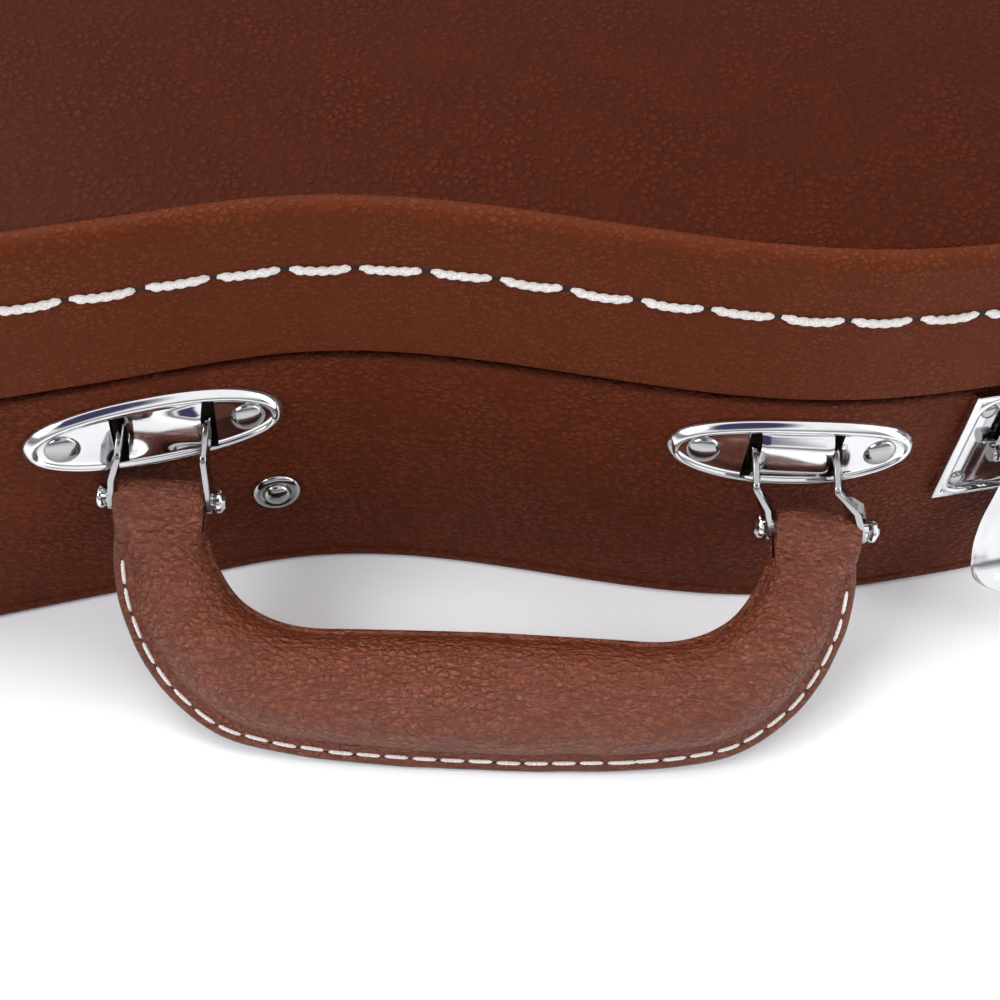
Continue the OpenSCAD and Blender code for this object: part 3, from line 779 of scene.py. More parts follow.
def handle_stitches():
    inset = 2.6
    line = []
    for i in range(NST):
        a, wv = A[i], W[i]
        tdir = W[min(i + 1, NST - 1)] - W[max(i - 1, 0)]
        tdir /= np.linalg.norm(tdir)
        nd = np.array([-tdir[1], tdir[0]])
        if np.dot(nd, wv - a) < 0:
            nd = -nd
        line.append(wv - nd * inset)
    line = np.array(line)
    L = np.concatenate([[0], np.cumsum(np.linalg.norm(np.diff(line, axis=0), axis=1))])

    def at(s):
        return np.array([np.interp(s, L, line[:, 0]), np.interp(s, L, line[:, 1])])

    count = int((L[-1] - 14) / 7.0)
    period = (L[-1] - 14) / count
    parts, holes = [], []
    for side in (1, -1):
        for q in range(count):
            sa, sb = 7 + q * period + 0.55, 7 + (q + 1) * period - 0.55
            if q == int(count * 0.66) and side == 1:
                sb += 1.4
            off = rng.uniform(-0.18, 0.18)
            pts, rad = [], []
            for k in range(11):
                t = k / 10
                p = at(sa + (sb - sa) * t)
                lift = 0.5 * math.sin(math.pi * min(1, t * 4) / 2) * math.sin(math.pi * min(1, (1 - t) * 4) / 2) - 0.35
                pts.append(hpt(p[0] + off * 0.3, p[1] + off, -side * (1.62 + lift)))
                rad.append(0.52 * (0.6 + 0.4 * math.sin(math.pi * min(1, 0.15 + t * 5) / 2) * math.sin(math.pi * min(1, 0.15 + (1 - t) * 5) / 2)))
            parts.append(tube(pts, rad, 8, 2.4, 0.2, up=hpt(0, 0, 1) - hpt(0, 0, 0)))
            nz = (hpt(0, 0, -side) - hpt(0, 0, 0))
            for s_ in (sa - 0.3, sb + 0.3):
                p = at(s_)
                tg = at(s_ + 0.5) - at(s_ - 0.5)
                t3 = hpt(tg[0], tg[1], 0) - hpt(0, 0, 0)
                t3 /= np.linalg.norm(t3) + 1e-9
                holes.append(pit(hpt(p[0], p[1], -side * 1.60), nz, t3, 0.42, 1.3))
    v, f = merge(parts)
    o = new_obj("handle_stitches", v, f, M_THREAD, "handle")
    fix_normals(o)
    v, f = merge(holes)
    new_obj("handle_stitch_holes", v, f, M_HOLE, "handle")


handle_stitches()


def handle_loops():
    """Leather strap folded round each pin and let into the grip."""
    for s, name, node in ((-1, "handle_loop_l", "handle_loop_left"), (1, "handle_loop_r", "handle_loop_right")):
        cx = s * 82.5
        nu = 18
        outer, inner = [], []
        # section in the (y, z) plane of the handle: round the pin, then straight to the grip
        for k in range(29):
            th = math.radians(90 + 180 * k / 28)
            outer.append((4.85 * math.cos(th), 4.85 * math.sin(th)))
            inner.append((2.06 * math.cos(th), 2.06 * math.sin(th)))
        outer = [(11.0, 5.6), (8.0, 5.3), (5.0, 5.0), (2.0, 4.9)] + outer + [(2.0, -4.9), (5.0, -5.0), (8.0, -5.3), (11.0, -5.6)]
        inner = [(2.0, 0.6), (2.0, 0.6), (2.0, 0.6), (1.6, 1.3)] + inner + [(1.6, -1.3), (2.0, -0.6), (2.0, -0.6), (2.0, -0.6)]
        m = len(outer)
        verts, faces = [], []
        for j in range(nu + 1):
            x = cx - 10.9 + 21.8 * j / nu
            edge = min(j, nu - j) / nu
            round_ = 0.45 * max(0, 1 - edge * nu / 1.2)
            for (y, z) in outer:
                r = math.hypot(y, z) + 1e-9
                nn = 0.12 * noise.noise(Vector((x / 4, y / 4, z / 4)))
                # sinks into the grip, first at the sides
                g = min(1.0, max(0.0, (y - 4.0) / 7.0))
                zz = z * (1 - g * (0.10 + 0.62 * (abs(x - cx) / 10.9) ** 2))
                xx = cx + (x - cx) * (1 - 0.06 * g)
                verts.append(hpt(xx, y * (1 - round_ / r) + nn * y / r, zz * (1 - round_ / r) + nn * z / r))
        for j in range(nu):
            for k in range(m - 1):
                faces.append((j * m + k, j * m + k + 1, (j + 1) * m + k + 1, (j + 1) * m + k))
        base = len(verts)
        for j in (0, nu):
            x = cx - 10.9 + 21.8 * j / nu
            for (y, z) in inner:
                verts.append(hpt(x, y, z))
        for k in range(m - 1):
            faces.append((k, base + k, base + k + 1, k + 1))
            faces.append((nu * m + k, nu * m + k + 1, base + m + k + 1, base + m + k))
            faces.append((base + k, base + m + k, base + m + k + 1, base + k + 1))
        o = new_obj(name, verts, faces, [M_HANDLE, M_EDGE], "handle", True, [node])
        bm = bmesh.new()
        bm.from_mesh(o.data)
        bmesh.ops.remove_doubles(bm, verts=bm.verts, dist=1e-6)
        bm.to_mesh(o.data)
        bm.free()
        fix_normals(o)
        smooth_angle(o, 50)


handle_loops()

# ------------------------------------------------------------------ hardware


def lathe(profile, n=40):
    """Profile of (radius, height) about local z, closed on the axis or open. mm."""
    m = len(profile)
    verts = [(r * math.cos(2 * math.pi * k / n), r * math.sin(2 * math.pi * k / n), h) for k in range(n) for r, h in profile]
    faces = [(k * m + j, ((k + 1) % n) * m + j, ((k + 1) % n) * m + j + 1, k * m + j + 1) for k in range(n) for j in range(m - 1)]
    return verts, faces


def place_pts(verts, M):
    return [np.array((M @ Vector((v[0] * MM, v[1] * MM, v[2] * MM)))[:]) / MM for v in verts]


def out_matrix(x, z, lift=0.0):
    """Local z points out of the handle-side wall at x, z (mm)."""
    a = -math.atan(slope(x))
    return Matrix.Translation(Vector((x * MM, (-w(x) - OB / math.cos(a)) * MM, z * MM))) @ Matrix.Rotation(a, 4, "Z") @ Matrix.Rotation(math.radians(90), 4, "X") @ Matrix.Translation(Vector((0, 0, lift * MM)))


def plate_surface(x0, dx, z):
    """World xy on the body wall at distance dx along it from x0, and the outward normal."""
    x = x0 + dx * math.cos(math.atan(slope(x0)))
    a = -math.atan(slope(x))
    return x, -w(x) - OB / math.cos(a), a


def build_plate(name, x0, cx, node):
    """Pressed oval plate: bevelled rim, flat face, window for the bail, and a raised panel over the pivot rod."""
    HLn, HW, ZC = 31.9, 11.6, 62.9
    ring_n = 144
    verts = []

    def put(u, v, h):
        x, y, a = plate_surface(x0, u, v)
        return (x + math.sin(a) * h, y - math.cos(a) * h, ZC + v)

    def ringpts(k, d):
        th = 2 * math.pi * k / ring_n
        q = (math.copysign(abs(math.cos(th)) ** 0.93, math.cos(th)), math.copysign(abs(math.sin(th)) ** 0.93, math.sin(th)))
        return (HLn - d) * q[0], (HW - d) * q[1]

    levels = [(0.0, 0.03), (0.05, 0.45), (0.45, 1.05), (1.0, 1.65), (1.5, 2.1), (1.9, 2.33), (2.2, 2.38), (2.5, 2.28), (2.8, 1.95), (3.1, 1.62), (3.6, 1.46), (4.3, 1.42)]
    for d, h in levels:
        for k in range(ring_n):
            u, v = ringpts(k, d)
            verts.append(put(u, v, h))
    for sc_ in (0.85, 0.68, 0.5, 0.3, 0.1):
        for k in range(ring_n):
            u, v = ringpts(k, 4.3)
            verts.append(put(u * sc_, v * sc_, 1.42))
    L = len(levels) + 5
    faces = []
    for r in range(L - 1):
        for k in range(ring_n):
            k2 = (k + 1) % ring_n
            faces.append((r * ring_n + k, r * ring_n + k2, (r + 1) * ring_n + k2, (r + 1) * ring_n + k))
    verts.append(put(0, 0, 1.42))
    c0 = len(verts) - 1
    verts.append(put(0, 0, -0.6))
    c1 = len(verts) - 1
    for k in range(ring_n):
        k2 = (k + 1) % ring_n
        faces.append(((L - 1) * ring_n + k, (L - 1) * ring_n + k2, c0))
        faces.append((k2, k, c1))
    o = new_obj(name, verts, faces, [M_CHROME, M_SLOT_SHADE], "body", True, [node])
    fix_normals(o)
    me = bpy.data.meshes.new("cut")
    W0, W1, Z0, Z1 = cx - 11.9, cx + 11.9, 54.9, 70.3
    vs = [(a, b, c) for a in (W0, W1) for b in (-190, -160) for c in (Z0, Z1)]
    me.from_pydata([[q * MM for q in v] for v in vs], [], [(0, 1, 3, 2), (4, 6, 7, 5), (0, 4, 5, 1), (2, 3, 7, 6), (0, 2, 6, 4), (1, 5, 7, 3)])
    me.materials.append(M_CHROME)
    c = bpy.data.objects.new("cut", me)
    sc.collection.objects.link(c)
    bpy.context.view_layer.update()
    md = o.modifiers.new("cut", "BOOLEAN")
    md.operation = "DIFFERENCE"
    md.object = c
    md.solver = "EXACT"
    dg = bpy.context.evaluated_depsgraph_get()
    nm = bpy.data.meshes.new_from_object(o.evaluated_get(dg))
    o.modifiers.clear()
    o.data = nm
    bpy.data.objects.remove(c)
    smooth_angle(o, 40)

    # panel over the rod, standing square to it
    zs = [70.6, 70.2, 69.6, 68.8, 67.8, 66.4, 64.6, 62.6, 60.6, 58.8, 57.2, 56.0, 55.1, 54.5]
    yc = -174.95
    nx = 16
    verts, faces = [], []
    for z in zs:
        t = (70.6 - z) / 16.1
        b = min(1, t / 0.17) if t < 0.5 else min(1, (1 - t) / 0.36)
        b = b * b * (3 - 2 * b)
        for i in range(nx + 1):
            x = cx - 9.1 + 18.2 * i / nx
            a = -math.atan(slope(x))
            yp = -w(x) - (OB + 1.35) / math.cos(a)
            e = min(i, nx - i)
            roll = 0.35 if e == 0 else 0.0
            verts.append((x, yp + (yc - 0.25 * math.sin(math.pi * t) - yp) * b + roll, z))
    for r in range(len(zs) - 1):
        for i in range(nx):
            a0 = r * (nx + 1) + i
            faces.append((a0, a0 + 1, a0 + nx + 2, a0 + nx + 1))
    o = new_obj(name + "_panel", verts, faces, M_CHROME, "body", True, ())
    fix_normals(o)
    # outward faces look towards -Y
    if sum(p.normal[1] * p.area for p in o.data.polygons) > 0:
        o.data.flip_normals()
    so = o.modifiers.new("thick", "SOLIDIFY")
    so.thickness = 0.0007
    so.offset = -1
    smooth_angle(o, 60)


build_plate("handle_plate_l", PXL, -54.55 + XO, "handle_plate_left")
build_plate("handle_plate_r", PXR, 101 + XO, "handle_plate_right")


def build_bail(name, cx, pc, body, node):
    """Two flat straps with rounded ends, on a rod that turns behind the plate."""
    parts = []

    def arc2(c, r, a0, a1, n):
        return [(c[0] + r * math.cos(math.radians(a0 + (a1 - a0) * k / n)), c[1] + r * math.sin(math.radians(a0 + (a1 - a0) * k / n))) for k in range(n + 1)]

    P0, P1, P2, P3 = (-172.5, 63.7), (-180.8, 60.5), (-182.4, 55.4), (-PY, PZ)
    poly = arc2(P0, 2.35, -69, 111, 12) + arc2(P1, 2.6, 112, 163, 5) + [(P2[0] - 2.6, P2[1] + 0.5)] + arc2(P3, 3.35, 176, 390, 18) + [(-180.6, 55.1), (-180.2, 57.6), (-179.2, 58.9)]
    for s, x0, x1 in ((-1, cx - 10.2, pc - 12.1), (1, cx + 10.2, pc + 12.1)):
        def xa(z):
            return float(np.interp(z, [53.2, 61.2], [x1, x0]))
        n = len(poly)
        verts = []
        for dx in (-0.78, 0.78):
            verts += [(xa(z) + dx, y, z) for y, z in poly]
        faces = [tuple(range(n)), tuple(range(2 * n - 1, n - 1, -1))]
        faces += [(k, k + n, (k + 1) % n + n, (k + 1) % n) for k in range(n)]
        parts.append((verts, faces))
    verts = [(cx + dx, -172.5 + 1.38 * math.cos(2 * math.pi * k / 24), 63.7 + 1.38 * math.sin(2 * math.pi * k / 24)) for dx in (-10.2, 10.2) for k in range(24)]
    faces = [tuple(range(24)), tuple(range(47, 23, -1))] + [(k, k + 24, (k + 1) % 24 + 24, (k + 1) % 24) for k in range(24)]
    parts.append((verts, faces))
    v, f = merge(parts)
    o = new_obj(name, v, f, M_CHROME2, body, True, [node])
    fix_normals(o)
    bv = o.modifiers.new("bevel", "BEVEL")
    bv.width = 0.00035
    bv.segments = 3
    bv.limit_method = "ANGLE"
    bv.angle_limit = math.radians(40)
    smooth_angle(o, 35)


build_bail("bail_straps_l", -54.55 + XO, -178.35 - 82.5, "bail_left", "bail_left")
build_bail("bail_straps_r", 101 + XO, -178.35 + 82.5, "bail_right", "bail_right")


def rivets():
    parts = []
    for x0 in (PXL, PXR):
        for s in (-22.5, 22.5):
            x = x0 + s * math.cos(math.atan(slope(x0)))
            M = out_matrix(x, 62.9, 1.1)
            prof = [(0, -0.5), (4.3, -0.5), (4.35, 0.15), (4.25, 0.55), (3.9, 0.95), (3.2, 1.35), (2.3, 1.62), (1.2, 1.78), (0.0, 1.84)]
            v, f = lathe(prof, 36)
            parts.append((place_pts(v, M), f))
    v, f = merge(parts)
    o = new_obj("plate_rivet_heads", v, f, M_CHROME2, "body", True, ["plate_rivets"])
    bm = bmesh.new()
    bm.from_mesh(o.data)
    bmesh.ops.remove_doubles(bm, verts=bm.verts, dist=1e-7)
    bm.to_mesh(o.data)
    bm.free()
    fix_normals(o)
    smooth_angle(o, 50)
    # side rivet with its cup washer
    M = out_matrix(-29.9 + XO, 31.4, 0.0)
    v, f = lathe([(2.0, 0.0), (6.4, -0.3), (6.5, 0.25), (6.3, 0.7), (5.6, 1.15), (4.9, 1.35), (4.2, 1.2), (3.6, 0.8), (3.0, 0.6), (2.0, 0.55)], 48)
    o = new_obj("side_cup_washer", place_pts(v, M), f, M_CHROME2, "body", True, ["side_washer"])
    fix_normals(o)
    smooth_angle(o, 60)
    v, f = lathe([(0, 0.1), (3.7, 0.1), (3.75, 0.9), (3.55, 1.55), (3.0, 2.1), (2.2, 2.5), (1.2, 2.72), (0, 2.8)], 40)
    o = new_obj("side_rivet_head", place_pts(v, M), f, M_CHROME2, "body", True, ["side_rivet"])
    fix_normals(o)
    smooth_angle(o, 60)


rivets()

def latch_trim():
    """Rolled rims and corner rivets of the latch plates, following the wall behind them."""
    tail = F[(F[:, 0] < F[:, 0].min() + 12) & (np.abs(F[:, 1]) < 60)]
    tail = tail[np.argsort(tail[:, 1])]
    head = F[(F[:, 0] > F[:, 0].max() - 12) & (np.abs(F[:, 1]) < 60)]
    head = head[np.argsort(head[:, 1])]

    def at(k, u, z, h):
        if k < 3:
            x0 = (-190, 166, 430)[k] + XO
            x = x0 + u * math.cos(math.atan(slope(x0)))
            a = -math.atan(slope(x))
            y = -w(x) - OB / math.cos(a)
            return (x + math.sin(a) * h, y - math.cos(a) * h, z)
        if k == 3:
            return (float(np.interp(u, tail[:, 1], tail[:, 0])) - OB - h, u, z)
        return (float(np.interp(u, head[:, 1], head[:, 0])) + OB + h, u, z)

    path = []
    hw, z0, z1, r = 21.2, 43.8, 78.2, 5.5
    for cu, cz, a0 in ((hw - r, z0 + r, -90), (hw - r, z1 - r, 0), (-hw + r, z1 - r, 90), (-hw + r, z0 + r, 180)):
        for q in range(9):
            t = math.radians(a0 + 90 * q / 8)
            path.append((cu + r * math.cos(t), cz + r * math.sin(t), math.cos(t), math.sin(t)))
    dense = []
    for i, a in enumerate(path):
        b = path[(i + 1) % len(path)]
        n = max(1, int(math.hypot(b[0] - a[0], b[1] - a[1]) / 2.5))
        for q in range(n):
            t = q / n
            dense.append(tuple(a[j] * (1 - t) + b[j] * t for j in range(4)))
    prof = [(1.7, 0.4), (1.75, 1.2), (1.35, 2.15), (0.6, 2.65), (-0.3, 2.62), (-1.1, 2.1), (-1.5, 1.2), (-1.5, 0.4)]
    parts, rivs = [], []
    for k in range(5):
        m = len(prof)
        verts = [at(k, u + nu * o, z + nz * o, h) for u, z, nu, nz in dense for o, h in prof]
        n = len(dense)
        faces = [(i * m + q, i * m + (q + 1) % m, ((i + 1) % n) * m + (q + 1) % m, ((i + 1) % n) * m + q) for i in range(n) for q in range(m)]
        parts.append((verts, faces))
        for u in (-17.2, 17.2):
            for z in (48.2, 73.6):
                v, f = lathe([(2.3, 0.0), (2.3, 0.25), (2.05, 0.62), (1.5, 0.95), (0.8, 1.12), (0.001, 1.16)], 24)
                o0, ox, oz = (np.array(at(k, u, z, 1.2)), np.array(at(k, u + 1, z, 1.2)), np.array(at(k, u, z + 1, 1.2)))
                ex, ez = ox - o0, oz - o0
                ex /= np.linalg.norm(ex)
                en = np.array(at(k, u, z, 2.2)) - o0
                rivs.append(([o0 + ex * a + ez * b + en * c for a, b, c in v], f))
    v, f = merge(parts)
    o = new_obj("latch_plate_rims", v, f, M_CHROME, "body", True, ())
    fix_normals(o)
    smooth_angle(o, 60)
    v, f = merge(rivs)
    o = new_obj("latch_plate_rivets", v, f, M_CHROME2, "body", True, ())
    fix_normals(o)
    smooth_angle(o, 60)


latch_trim()


def latch_levers():
    """Pressed lever with turned edges, an embossed spine and a rounded finger tab."""
    line = fine([(9.22, 74.0), (9.22, 70), (9.2, 60), (9.2, 48), (9.22, 39), (9.8, 33.8), (10.7, 29.6), (12.4, 25.6), (14.6, 22.6), (17.2, 20.6), (20.2, 19.1)], 4)
    n = len(line)
    L = np.concatenate([[0], np.cumsum(np.linalg.norm(np.diff(line, axis=0), axis=1))])
    tan = np.gradient(line, axis=0)
    tan /= np.linalg.norm(tan, axis=1)[:, None]
    nrm = np.stack([-tan[:, 1], tan[:, 0]], 1)
    nrm *= np.where(nrm[:, :1] < 0, -1, 1)
    us = np.array([-1, -0.985, -0.94, -0.86, -0.74, -0.62, -0.54, -0.46, -0.3, -0.15, 0, 0.15, 0.3, 0.46, 0.54, 0.62, 0.74, 0.86, 0.94, 0.985, 1])
    for k in range(5):
        if k < 3:
            M = side_matrix((-190, 166, 430)[k] + XO)
        else:
            sg = -1 if k == 3 else 1
            M = Matrix.Translation(Vector((sg * 0.54125, 0, 0))) @ Matrix.Rotation(math.radians(90 * sg), 4, "Z")
        verts, faces = [], []
        for i in range(n):
            end = L[-1] - L[i]
            half = 9.95 if end > 7 else 9.95 * math.sqrt(max(0.0, 1 - ((7 - end) / 7.6) ** 2))
            em = min(1, max(0, (L[i] - 3.5) / 2.5)) * min(1, max(0, (end - 9) / 4))
            for q in us:
                a = abs(q)
                h = -0.5 * max(0, (a - 0.93) / 0.07) - 0.10 * a * a
                h += 0.62 * em * (1 if a < 0.47 else (0 if a > 0.61 else (0.61 - a) / 0.14)) * 0.9
                if end < 9:
                    h -= 0.25 * a * a
                h = min(h, 0.60)
                pn, pz = line[i] + nrm[i] * h
                verts.append((q * half, -pn, pz))
        m = len(us)
        for i in range(n - 1):
            for j in range(m - 1):
                a = i * m + j
                faces.append((a, a + 1, a + m + 1, a + m))
        o = new_obj(f"lever_plate_{k + 1}", place_pts(verts, M), faces, M_CHROME, f"lever_{k + 1}", True, [f"latch_lever_{k + 1}"])
        bm = bmesh.new()
        bm.from_mesh(o.data)
        bmesh.ops.recalc_face_normals(bm, faces=bm.faces)
        bm.to_mesh(o.data)
        bm.free()
        out = (M.to_3x3() @ Vector((0, -1, 0))).normalized()
        if sum(p_.normal.dot(out) * p_.area for p_ in o.data.polygons) < 0:
            o.data.flip_normals()
        so = o.modifiers.new("thick", "SOLIDIFY")
        so.thickness = 0.0008
        so.offset = -1
        smooth_angle(o, 50)
        # side cheeks, pivot pin and the loop's trunnions
        parts = []

        def cyl(u0, u1, nn, z, r, ring=24):
            v = [(u, -nn + r * math.cos(2 * math.pi * t / ring), z + r * math.sin(2 * math.pi * t / ring)) for u in (u0, u1) for t in range(ring)]
            f = [tuple(range(ring)), tuple(range(2 * ring - 1, ring - 1, -1))] + [(t, t + ring, (t + 1) % ring + ring, (t + 1) % ring) for t in range(ring)]
            return v, f
        for s0_ in (-9.9, 8.5):
            c = []
            for cn_, cz_, r, a0, a1 in ((6.4, 72, 2.6, 0, 150), (4.2, 60.5, 2.3, 150, 320)):
                for t in range(9):
                    th = math.radians(a0 + (a1 - a0) * t / 8)
                    c.append((-cn_ - r * math.cos(th) if False else -(cn_ + r * math.cos(th)), cz_ + r * math.sin(th)))
            c += [(-8.6, 59.0), (-8.6, 72.0)]
            nn_ = len(c)
            v = [(s0_ + d, y, z) for d in (0, 1.4) for y, z in c]
            f = [tuple(range(nn_)), tuple(range(2 * nn_ - 1, nn_ - 1, -1))] + [(t, t + nn_, (t + 1) % nn_ + nn_, (t + 1) % nn_) for t in range(nn_)]
            parts.append((v, f))
        parts.append(cyl(-9, 9, 6.4, 72, 1.08))
        parts.append(cyl(-13.2, -9.4, 4.2, 60.5, 1.08))
        parts.append(cyl(9.4, 13.2, 4.2, 60.5, 1.08))
        parts.append(cyl(-13.8, -12.9, 4.2, 60.5, 2.0))
        parts.append(cyl(12.9, 13.8, 4.2, 60.5, 2.0))
        v, f = merge(parts)
        o = new_obj(f"lever_cheeks_{k + 1}", place_pts(v, M), f, M_CHROME2, f"lever_{k + 1}", True, ())
        fix_normals(o)
        smooth_angle(o, 35)


latch_levers()

# CAD nodes that are shown as they are
for name, o in NODES.items():
    if o.hide_render:
        continue
    if name.startswith(("latch_", "hinge_", "bail_")):
        m = M_CHROME
    elif name == "spine_feet":
        m = M_RUBBER
    elif name == "locating_lip":
        m = M_WOOD
    elif name == "bottom_panel":
        m = M_BODY
    elif name == "pocket_tab":
        m = M_TAPE
    else:
        m = M_PLUSH
    o.data.materials.clear()
    o.data.materials.append(m)
    for p in o.data.polygons:
        p.material_index = 0
    if m == M_CHROME:
        md = o.modifiers.new("weld", "WELD")
        md.merge_threshold = 1e-5
        bv = o.modifiers.new("bevel", "BEVEL")
        bv.width = 0.00028
        bv.segments = 2
        bv.limit_method = "ANGLE"
        bv.angle_limit = math.radians(50)
        bv.use_clamp_overlap = True
        smooth_angle(o, 35)
    else:
        smooth_angle(o, 35)


# ------------------------------------------------------------------ padded lining
def lining():
    # side padding: pulled in along two rows, soft top edge
    def pad_profile(o_in, o_out, z0, z1, notch=None):
        q = [(o_out, z0)]
        if notch:
            q += [(o_out, notch[1]), (notch[0], notch[1])]
            o_top = notch[0]
        else:
            o_top = o_out
        q += [(o_top, z1 - 2.2), (o_top - 0.6, z1 - 0.6), (o_top - 1.8, z1), (o_in + 2.6, z1), (o_in + 1.0, z1 - 0.7), (o_in + 0.2, z1 - 2.2)]
        for z in np.linspace(z1 - 5, z0 + 3, 16):
            t = (z - z0) / (z1 - z0)
            q.append((o_in + 0.9 * math.cos(t * 2 * math.pi * 2) * 0.5 + 0.45, z))
        q += [(o_in + 0.6, z0 + 1), (o_in + 1.4, z0)]
        return q
    p = pad_profile(-17, IB - 0.1, 15.2, 85, (IB - 2.7, 65.8))
    # anticlockwise: up the outside, in over the top, down the inside
    o = closed_sweep("side_padding", p, [M_PLUSH], "body", [0] * 3 + [0.0] * 7 + [0.5] * 15 + [0] * (len(p) - 25), ["side_liner"])


lining()


def floor_pad():
    """Floor padding with a soft quilted swell, over the whole bottom."""
    idx = list(range(0, K, 4))
    n = len(idx)
    ss = np.linspace(1, 0.04, 22)
    verts = []

    def pt(i, s, o):
        q = F[i] + NF[i] * o
        m = min(max(q[0], PA), PB)
        return m + (q[0] - m) * s, q[1] * s

    for r, s in enumerate(ss):
        for i in idx:
            x, y = pt(i, s, IB - 0.15)
            z = 14.9 + (0.0 if r else -1.2)
            if r > 1:
                z = 15.0 - 0.5 + 0.45 * noise.noise(Vector((x / 28, y / 28, 1.0))) - 0.5 * math.exp(-((((x + 4000) % 80) - 40) / 4) ** 2)
            verts.append((x, y, z))
    u = len(verts)
    for s in (1.0, 0.04):
        for i in idx:
            x, y = pt(i, s, IB - 0.15)
            verts.append((x, y, 5.1))
    faces = []
    k = len(ss)
    for r in range(k - 1):
        for i in range(n):
            i2 = (i + 1) % n
            faces.append((r * n + i, r * n + i2, (r + 1) * n + i2, (r + 1) * n + i))
    for i in range(n):
        i2 = (i + 1) % n
        faces.append((i, u + i, u + i2, i2))
        faces.append((u + i, u + n + i, u + n + i2, u + i2))
    for base in ((k - 1) * n, u + n):
        for i in range(n // 2):
            f = [base + i, base + i + 1, base + (n - i - 1) % n, base + (n - i) % n]
            f = [x for q, x in enumerate(f) if x not in f[:q]]
            if len(f) > 2:
                faces.append(tuple(f))
    o = new_obj("floor_padding", verts, faces, M_PLUSH, "body", True, ["bottom_liner"])
    fix_normals(o)
    smooth_angle(o, 50)


floor_pad()


def lid_pad():
    """Lid padding: a shallow tray with a swelling middle."""
    idx = list(range(0, K, 4))
    n = len(idx)

    def pt(i, s, o):
        q = F[i] + NF[i] * o
        m = min(max(q[0], PA), PB)
        return m + (q[0] - m) * s, q[1] * s

    rows = []
    for o_, z_ in ((IL - 0.1, 117.6), (IL - 0.1, 104), (IL - 0.1, 94), (IL - 0.7, 92.5), (-9, 92.05), (-12.5, 92.05), (-14.9, 93.2), (-15.6, 96), (-15.9, 102), (-16.1, 107.5), (-17.0, 109.2)):
        rows.append([(*(F[i] + NF[i] * o_), z_) for i in idx])
    for s in (0.97, 0.93, 0.87, 0.8, 0.72, 0.63, 0.54, 0.45, 0.36, 0.27, 0.18, 0.1, 0.04):
        row = []
        for i in idx:
            x, y = pt(i, s, -17.0)
            row.append((x, y, 109.5 + 0.4 * noise.noise(Vector((x / 30, y / 30, 5.0)))))
        rows.append(row)
    top = []
    for s in (1.0, 0.04):
        top.append([(*pt(i, s, IL - 0.1), 117.6) for i in idx])
    verts = [p for r in rows for p in r] + [p for p in top[1]]
    faces = []
    k = len(rows)
    for r in range(k - 1):
        for i in range(n):
            i2 = (i + 1) % n
            faces.append((r * n + i, (r + 1) * n + i, (r + 1) * n + i2, r * n + i2))
    u = k * n
    for i in range(n):
        i2 = (i + 1) % n
        faces.append((i, i2, u + i2, u + i))
    for base in ((k - 1) * n, u):
        for i in range(n // 2):
            f = [base + i, base + i + 1, base + (n - i - 1) % n, base + (n - i) % n]
            f = [x for q, x in enumerate(f) if x not in f[:q]]
            if len(f) > 2:
                faces.append(tuple(f))
    o = new_obj("lid_padding", verts, faces, M_PLUSH, "lid", True, ["lid_liner"])
    fix_normals(o)
    smooth_angle(o, 50)


lid_pad()

# ------------------------------------------------------------------ floor, light, camera


def stage_floor():
    m = Mat("floor")
    v = m.mapped()
    n = m.noise(v, 3, 3, 0.5)
    m.set(Base_Color=(0.94, 0.945, 0.955), Roughness=m.rng(n, 0.3, 0.7, 0.26, 0.30), IOR=1.45)
    me = bpy.data.meshes.new("floor")
    me.from_pydata([(-6, -6, 0), (6, -6, 0), (6, 6, 0), (-6, 6, 0)], [], [(0, 1, 2, 3)])
    me.materials.append(m.m)
    o = bpy.data.objects.new("floor", me)
    sc.collection.objects.link(o)
    o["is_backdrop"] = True


stage_floor()


def area(name, loc, target, size, power, col=(1, 1, 1), size_y=None):
    l = bpy.data.lights.new(name, "AREA")
    l.energy = power
    l.color = col
    l.shape = "RECTANGLE"
    l.size = size
    l.size_y = size_y or size
    o = bpy.data.objects.new(name, l)
    o.location = loc
    d = Vector(target) - Vector(loc)
    o.rotation_euler = d.to_track_quat("-Z", "Y").to_euler()
    sc.collection.objects.link(o)
    return o


TG = (-0.18, -0.18, 0.05)
area("key", (-0.75, 0.35, 1.55), TG, 0.9, 18, (1, 0.99, 0.97))
area("fill_front", (-1.55, -1.0, 1.30), TG, 1.2, 22, (0.96, 0.98, 1), 0.9)
area("strip_right", (1.3, -0.6, 0.7), TG, 0.5, 9, (1, 1, 1), 1.2)

# white tent, with the dark camera stand in front and a grey band low on the back
E, YAW, ROLL = 0.878909238, 0.0863455163, 0.112511083
wd = bpy.data.worlds.new("studio")
sc.world = wd
wd.use_nodes = True
wt = wd.node_tree
bg = wt.nodes["Background"]
tc = wt.nodes.new("ShaderNodeTexCoord")
sx = wt.nodes.new("ShaderNodeSeparateXYZ")
rp = wt.nodes.new("ShaderNodeValToRGB")
wt.links.new(tc.outputs["Generated"], sx.inputs[0])
mp = wt.nodes.new("ShaderNodeMapRange")
mp.inputs[1].default_value = -0.2
mp.inputs[2].default_value = 1.0
wt.links.new(sx.outputs[2], mp.inputs[0])
wt.links.new(mp.outputs[0], rp.inputs[0])
els = rp.color_ramp.elements
els[0].position = 0.0
els[0].color = (0.7, 0.7, 0.71, 1)
els[1].position = 1.0
els[1].color = (1, 1, 1, 1)
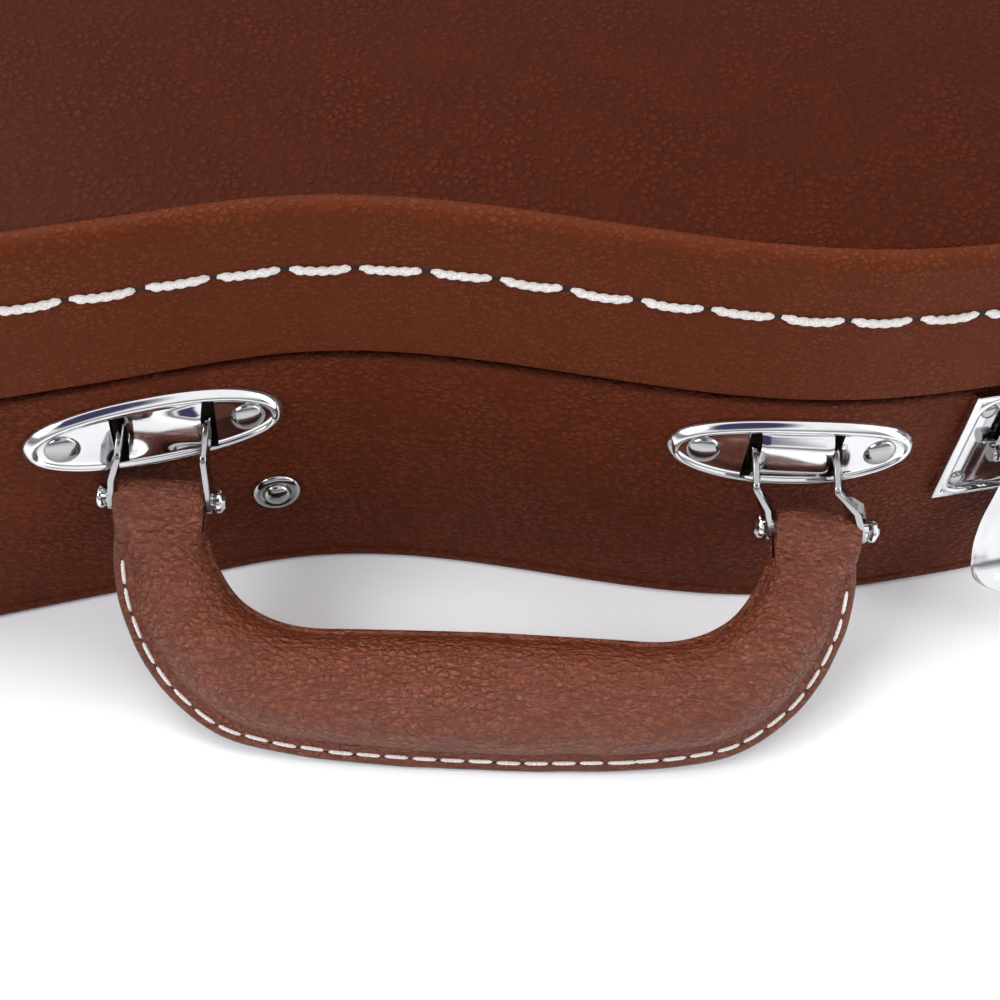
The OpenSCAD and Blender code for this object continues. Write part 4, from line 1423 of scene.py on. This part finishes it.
for pos, g in ((0.20, 0.70), (0.30, 0.20), (0.44, 0.28), (0.60, 1.0)):
    e = els.new(pos)
    e.color = (g, g, g * 1.02, 1)
dot = wt.nodes.new("ShaderNodeVectorMath")
dot.operation = "DOT_PRODUCT"
dot.inputs[1].default_value = (-math.sin(YAW) * math.cos(E), -math.cos(YAW) * math.cos(E), math.sin(E))
wt.links.new(tc.outputs["Generated"], dot.inputs[0])
dk = wt.nodes.new("ShaderNodeMapRange")
dk.interpolation_type = "SMOOTHSTEP"
dk.inputs[1].default_value = math.cos(math.radians(24))
dk.inputs[2].default_value = math.cos(math.radians(14))
dk.inputs[3].default_value = 0.0
dk.inputs[4].default_value = 0.97
wt.links.new(dot.outputs["Value"], dk.inputs[0])
mx = wt.nodes.new("ShaderNodeMix")
mx.data_type = "RGBA"
wt.links.new(dk.outputs[0], mx.inputs[0])
wt.links.new(rp.outputs[0], mx.inputs[6])
mx.inputs[7].default_value = (0.022, 0.016, 0.075, 1)
wt.links.new(mx.outputs[2], bg.inputs[0])
bg.inputs[1].default_value = 1.32

fwd = Vector((math.sin(YAW) * math.cos(E), math.cos(YAW) * math.cos(E), -math.sin(E)))
right = Vector((math.cos(YAW), -math.sin(YAW), 0))
up = right.cross(fwd)
r2 = right * math.cos(ROLL) + up * math.sin(ROLL)
u2 = -right * math.sin(ROLL) + up * math.cos(ROLL)
cam = bpy.data.cameras.new("cam")
cam.sensor_fit = "HORIZONTAL"
cam.sensor_width = 36
cam.lens = 36 * 1389.9159 / 1000
cam.shift_x = 0.0
cam.shift_y = (513.98 - 500) / 1000
cam.clip_start = 0.01
cam.clip_end = 50
co = bpy.data.objects.new("cam", cam)
rot = Matrix((r2, u2, -fwd)).transposed().to_4x4()
co.matrix_world = Matrix.Translation(Vector((-0.19574, -0.40536, 0.31696))) @ rot
sc.collection.objects.link(co)
sc.camera = co
sc.view_settings.view_transform = "Standard"
sc.view_settings.look = "None"
sc.view_settings.exposure = 0.0

sizes["final"] = size_now()
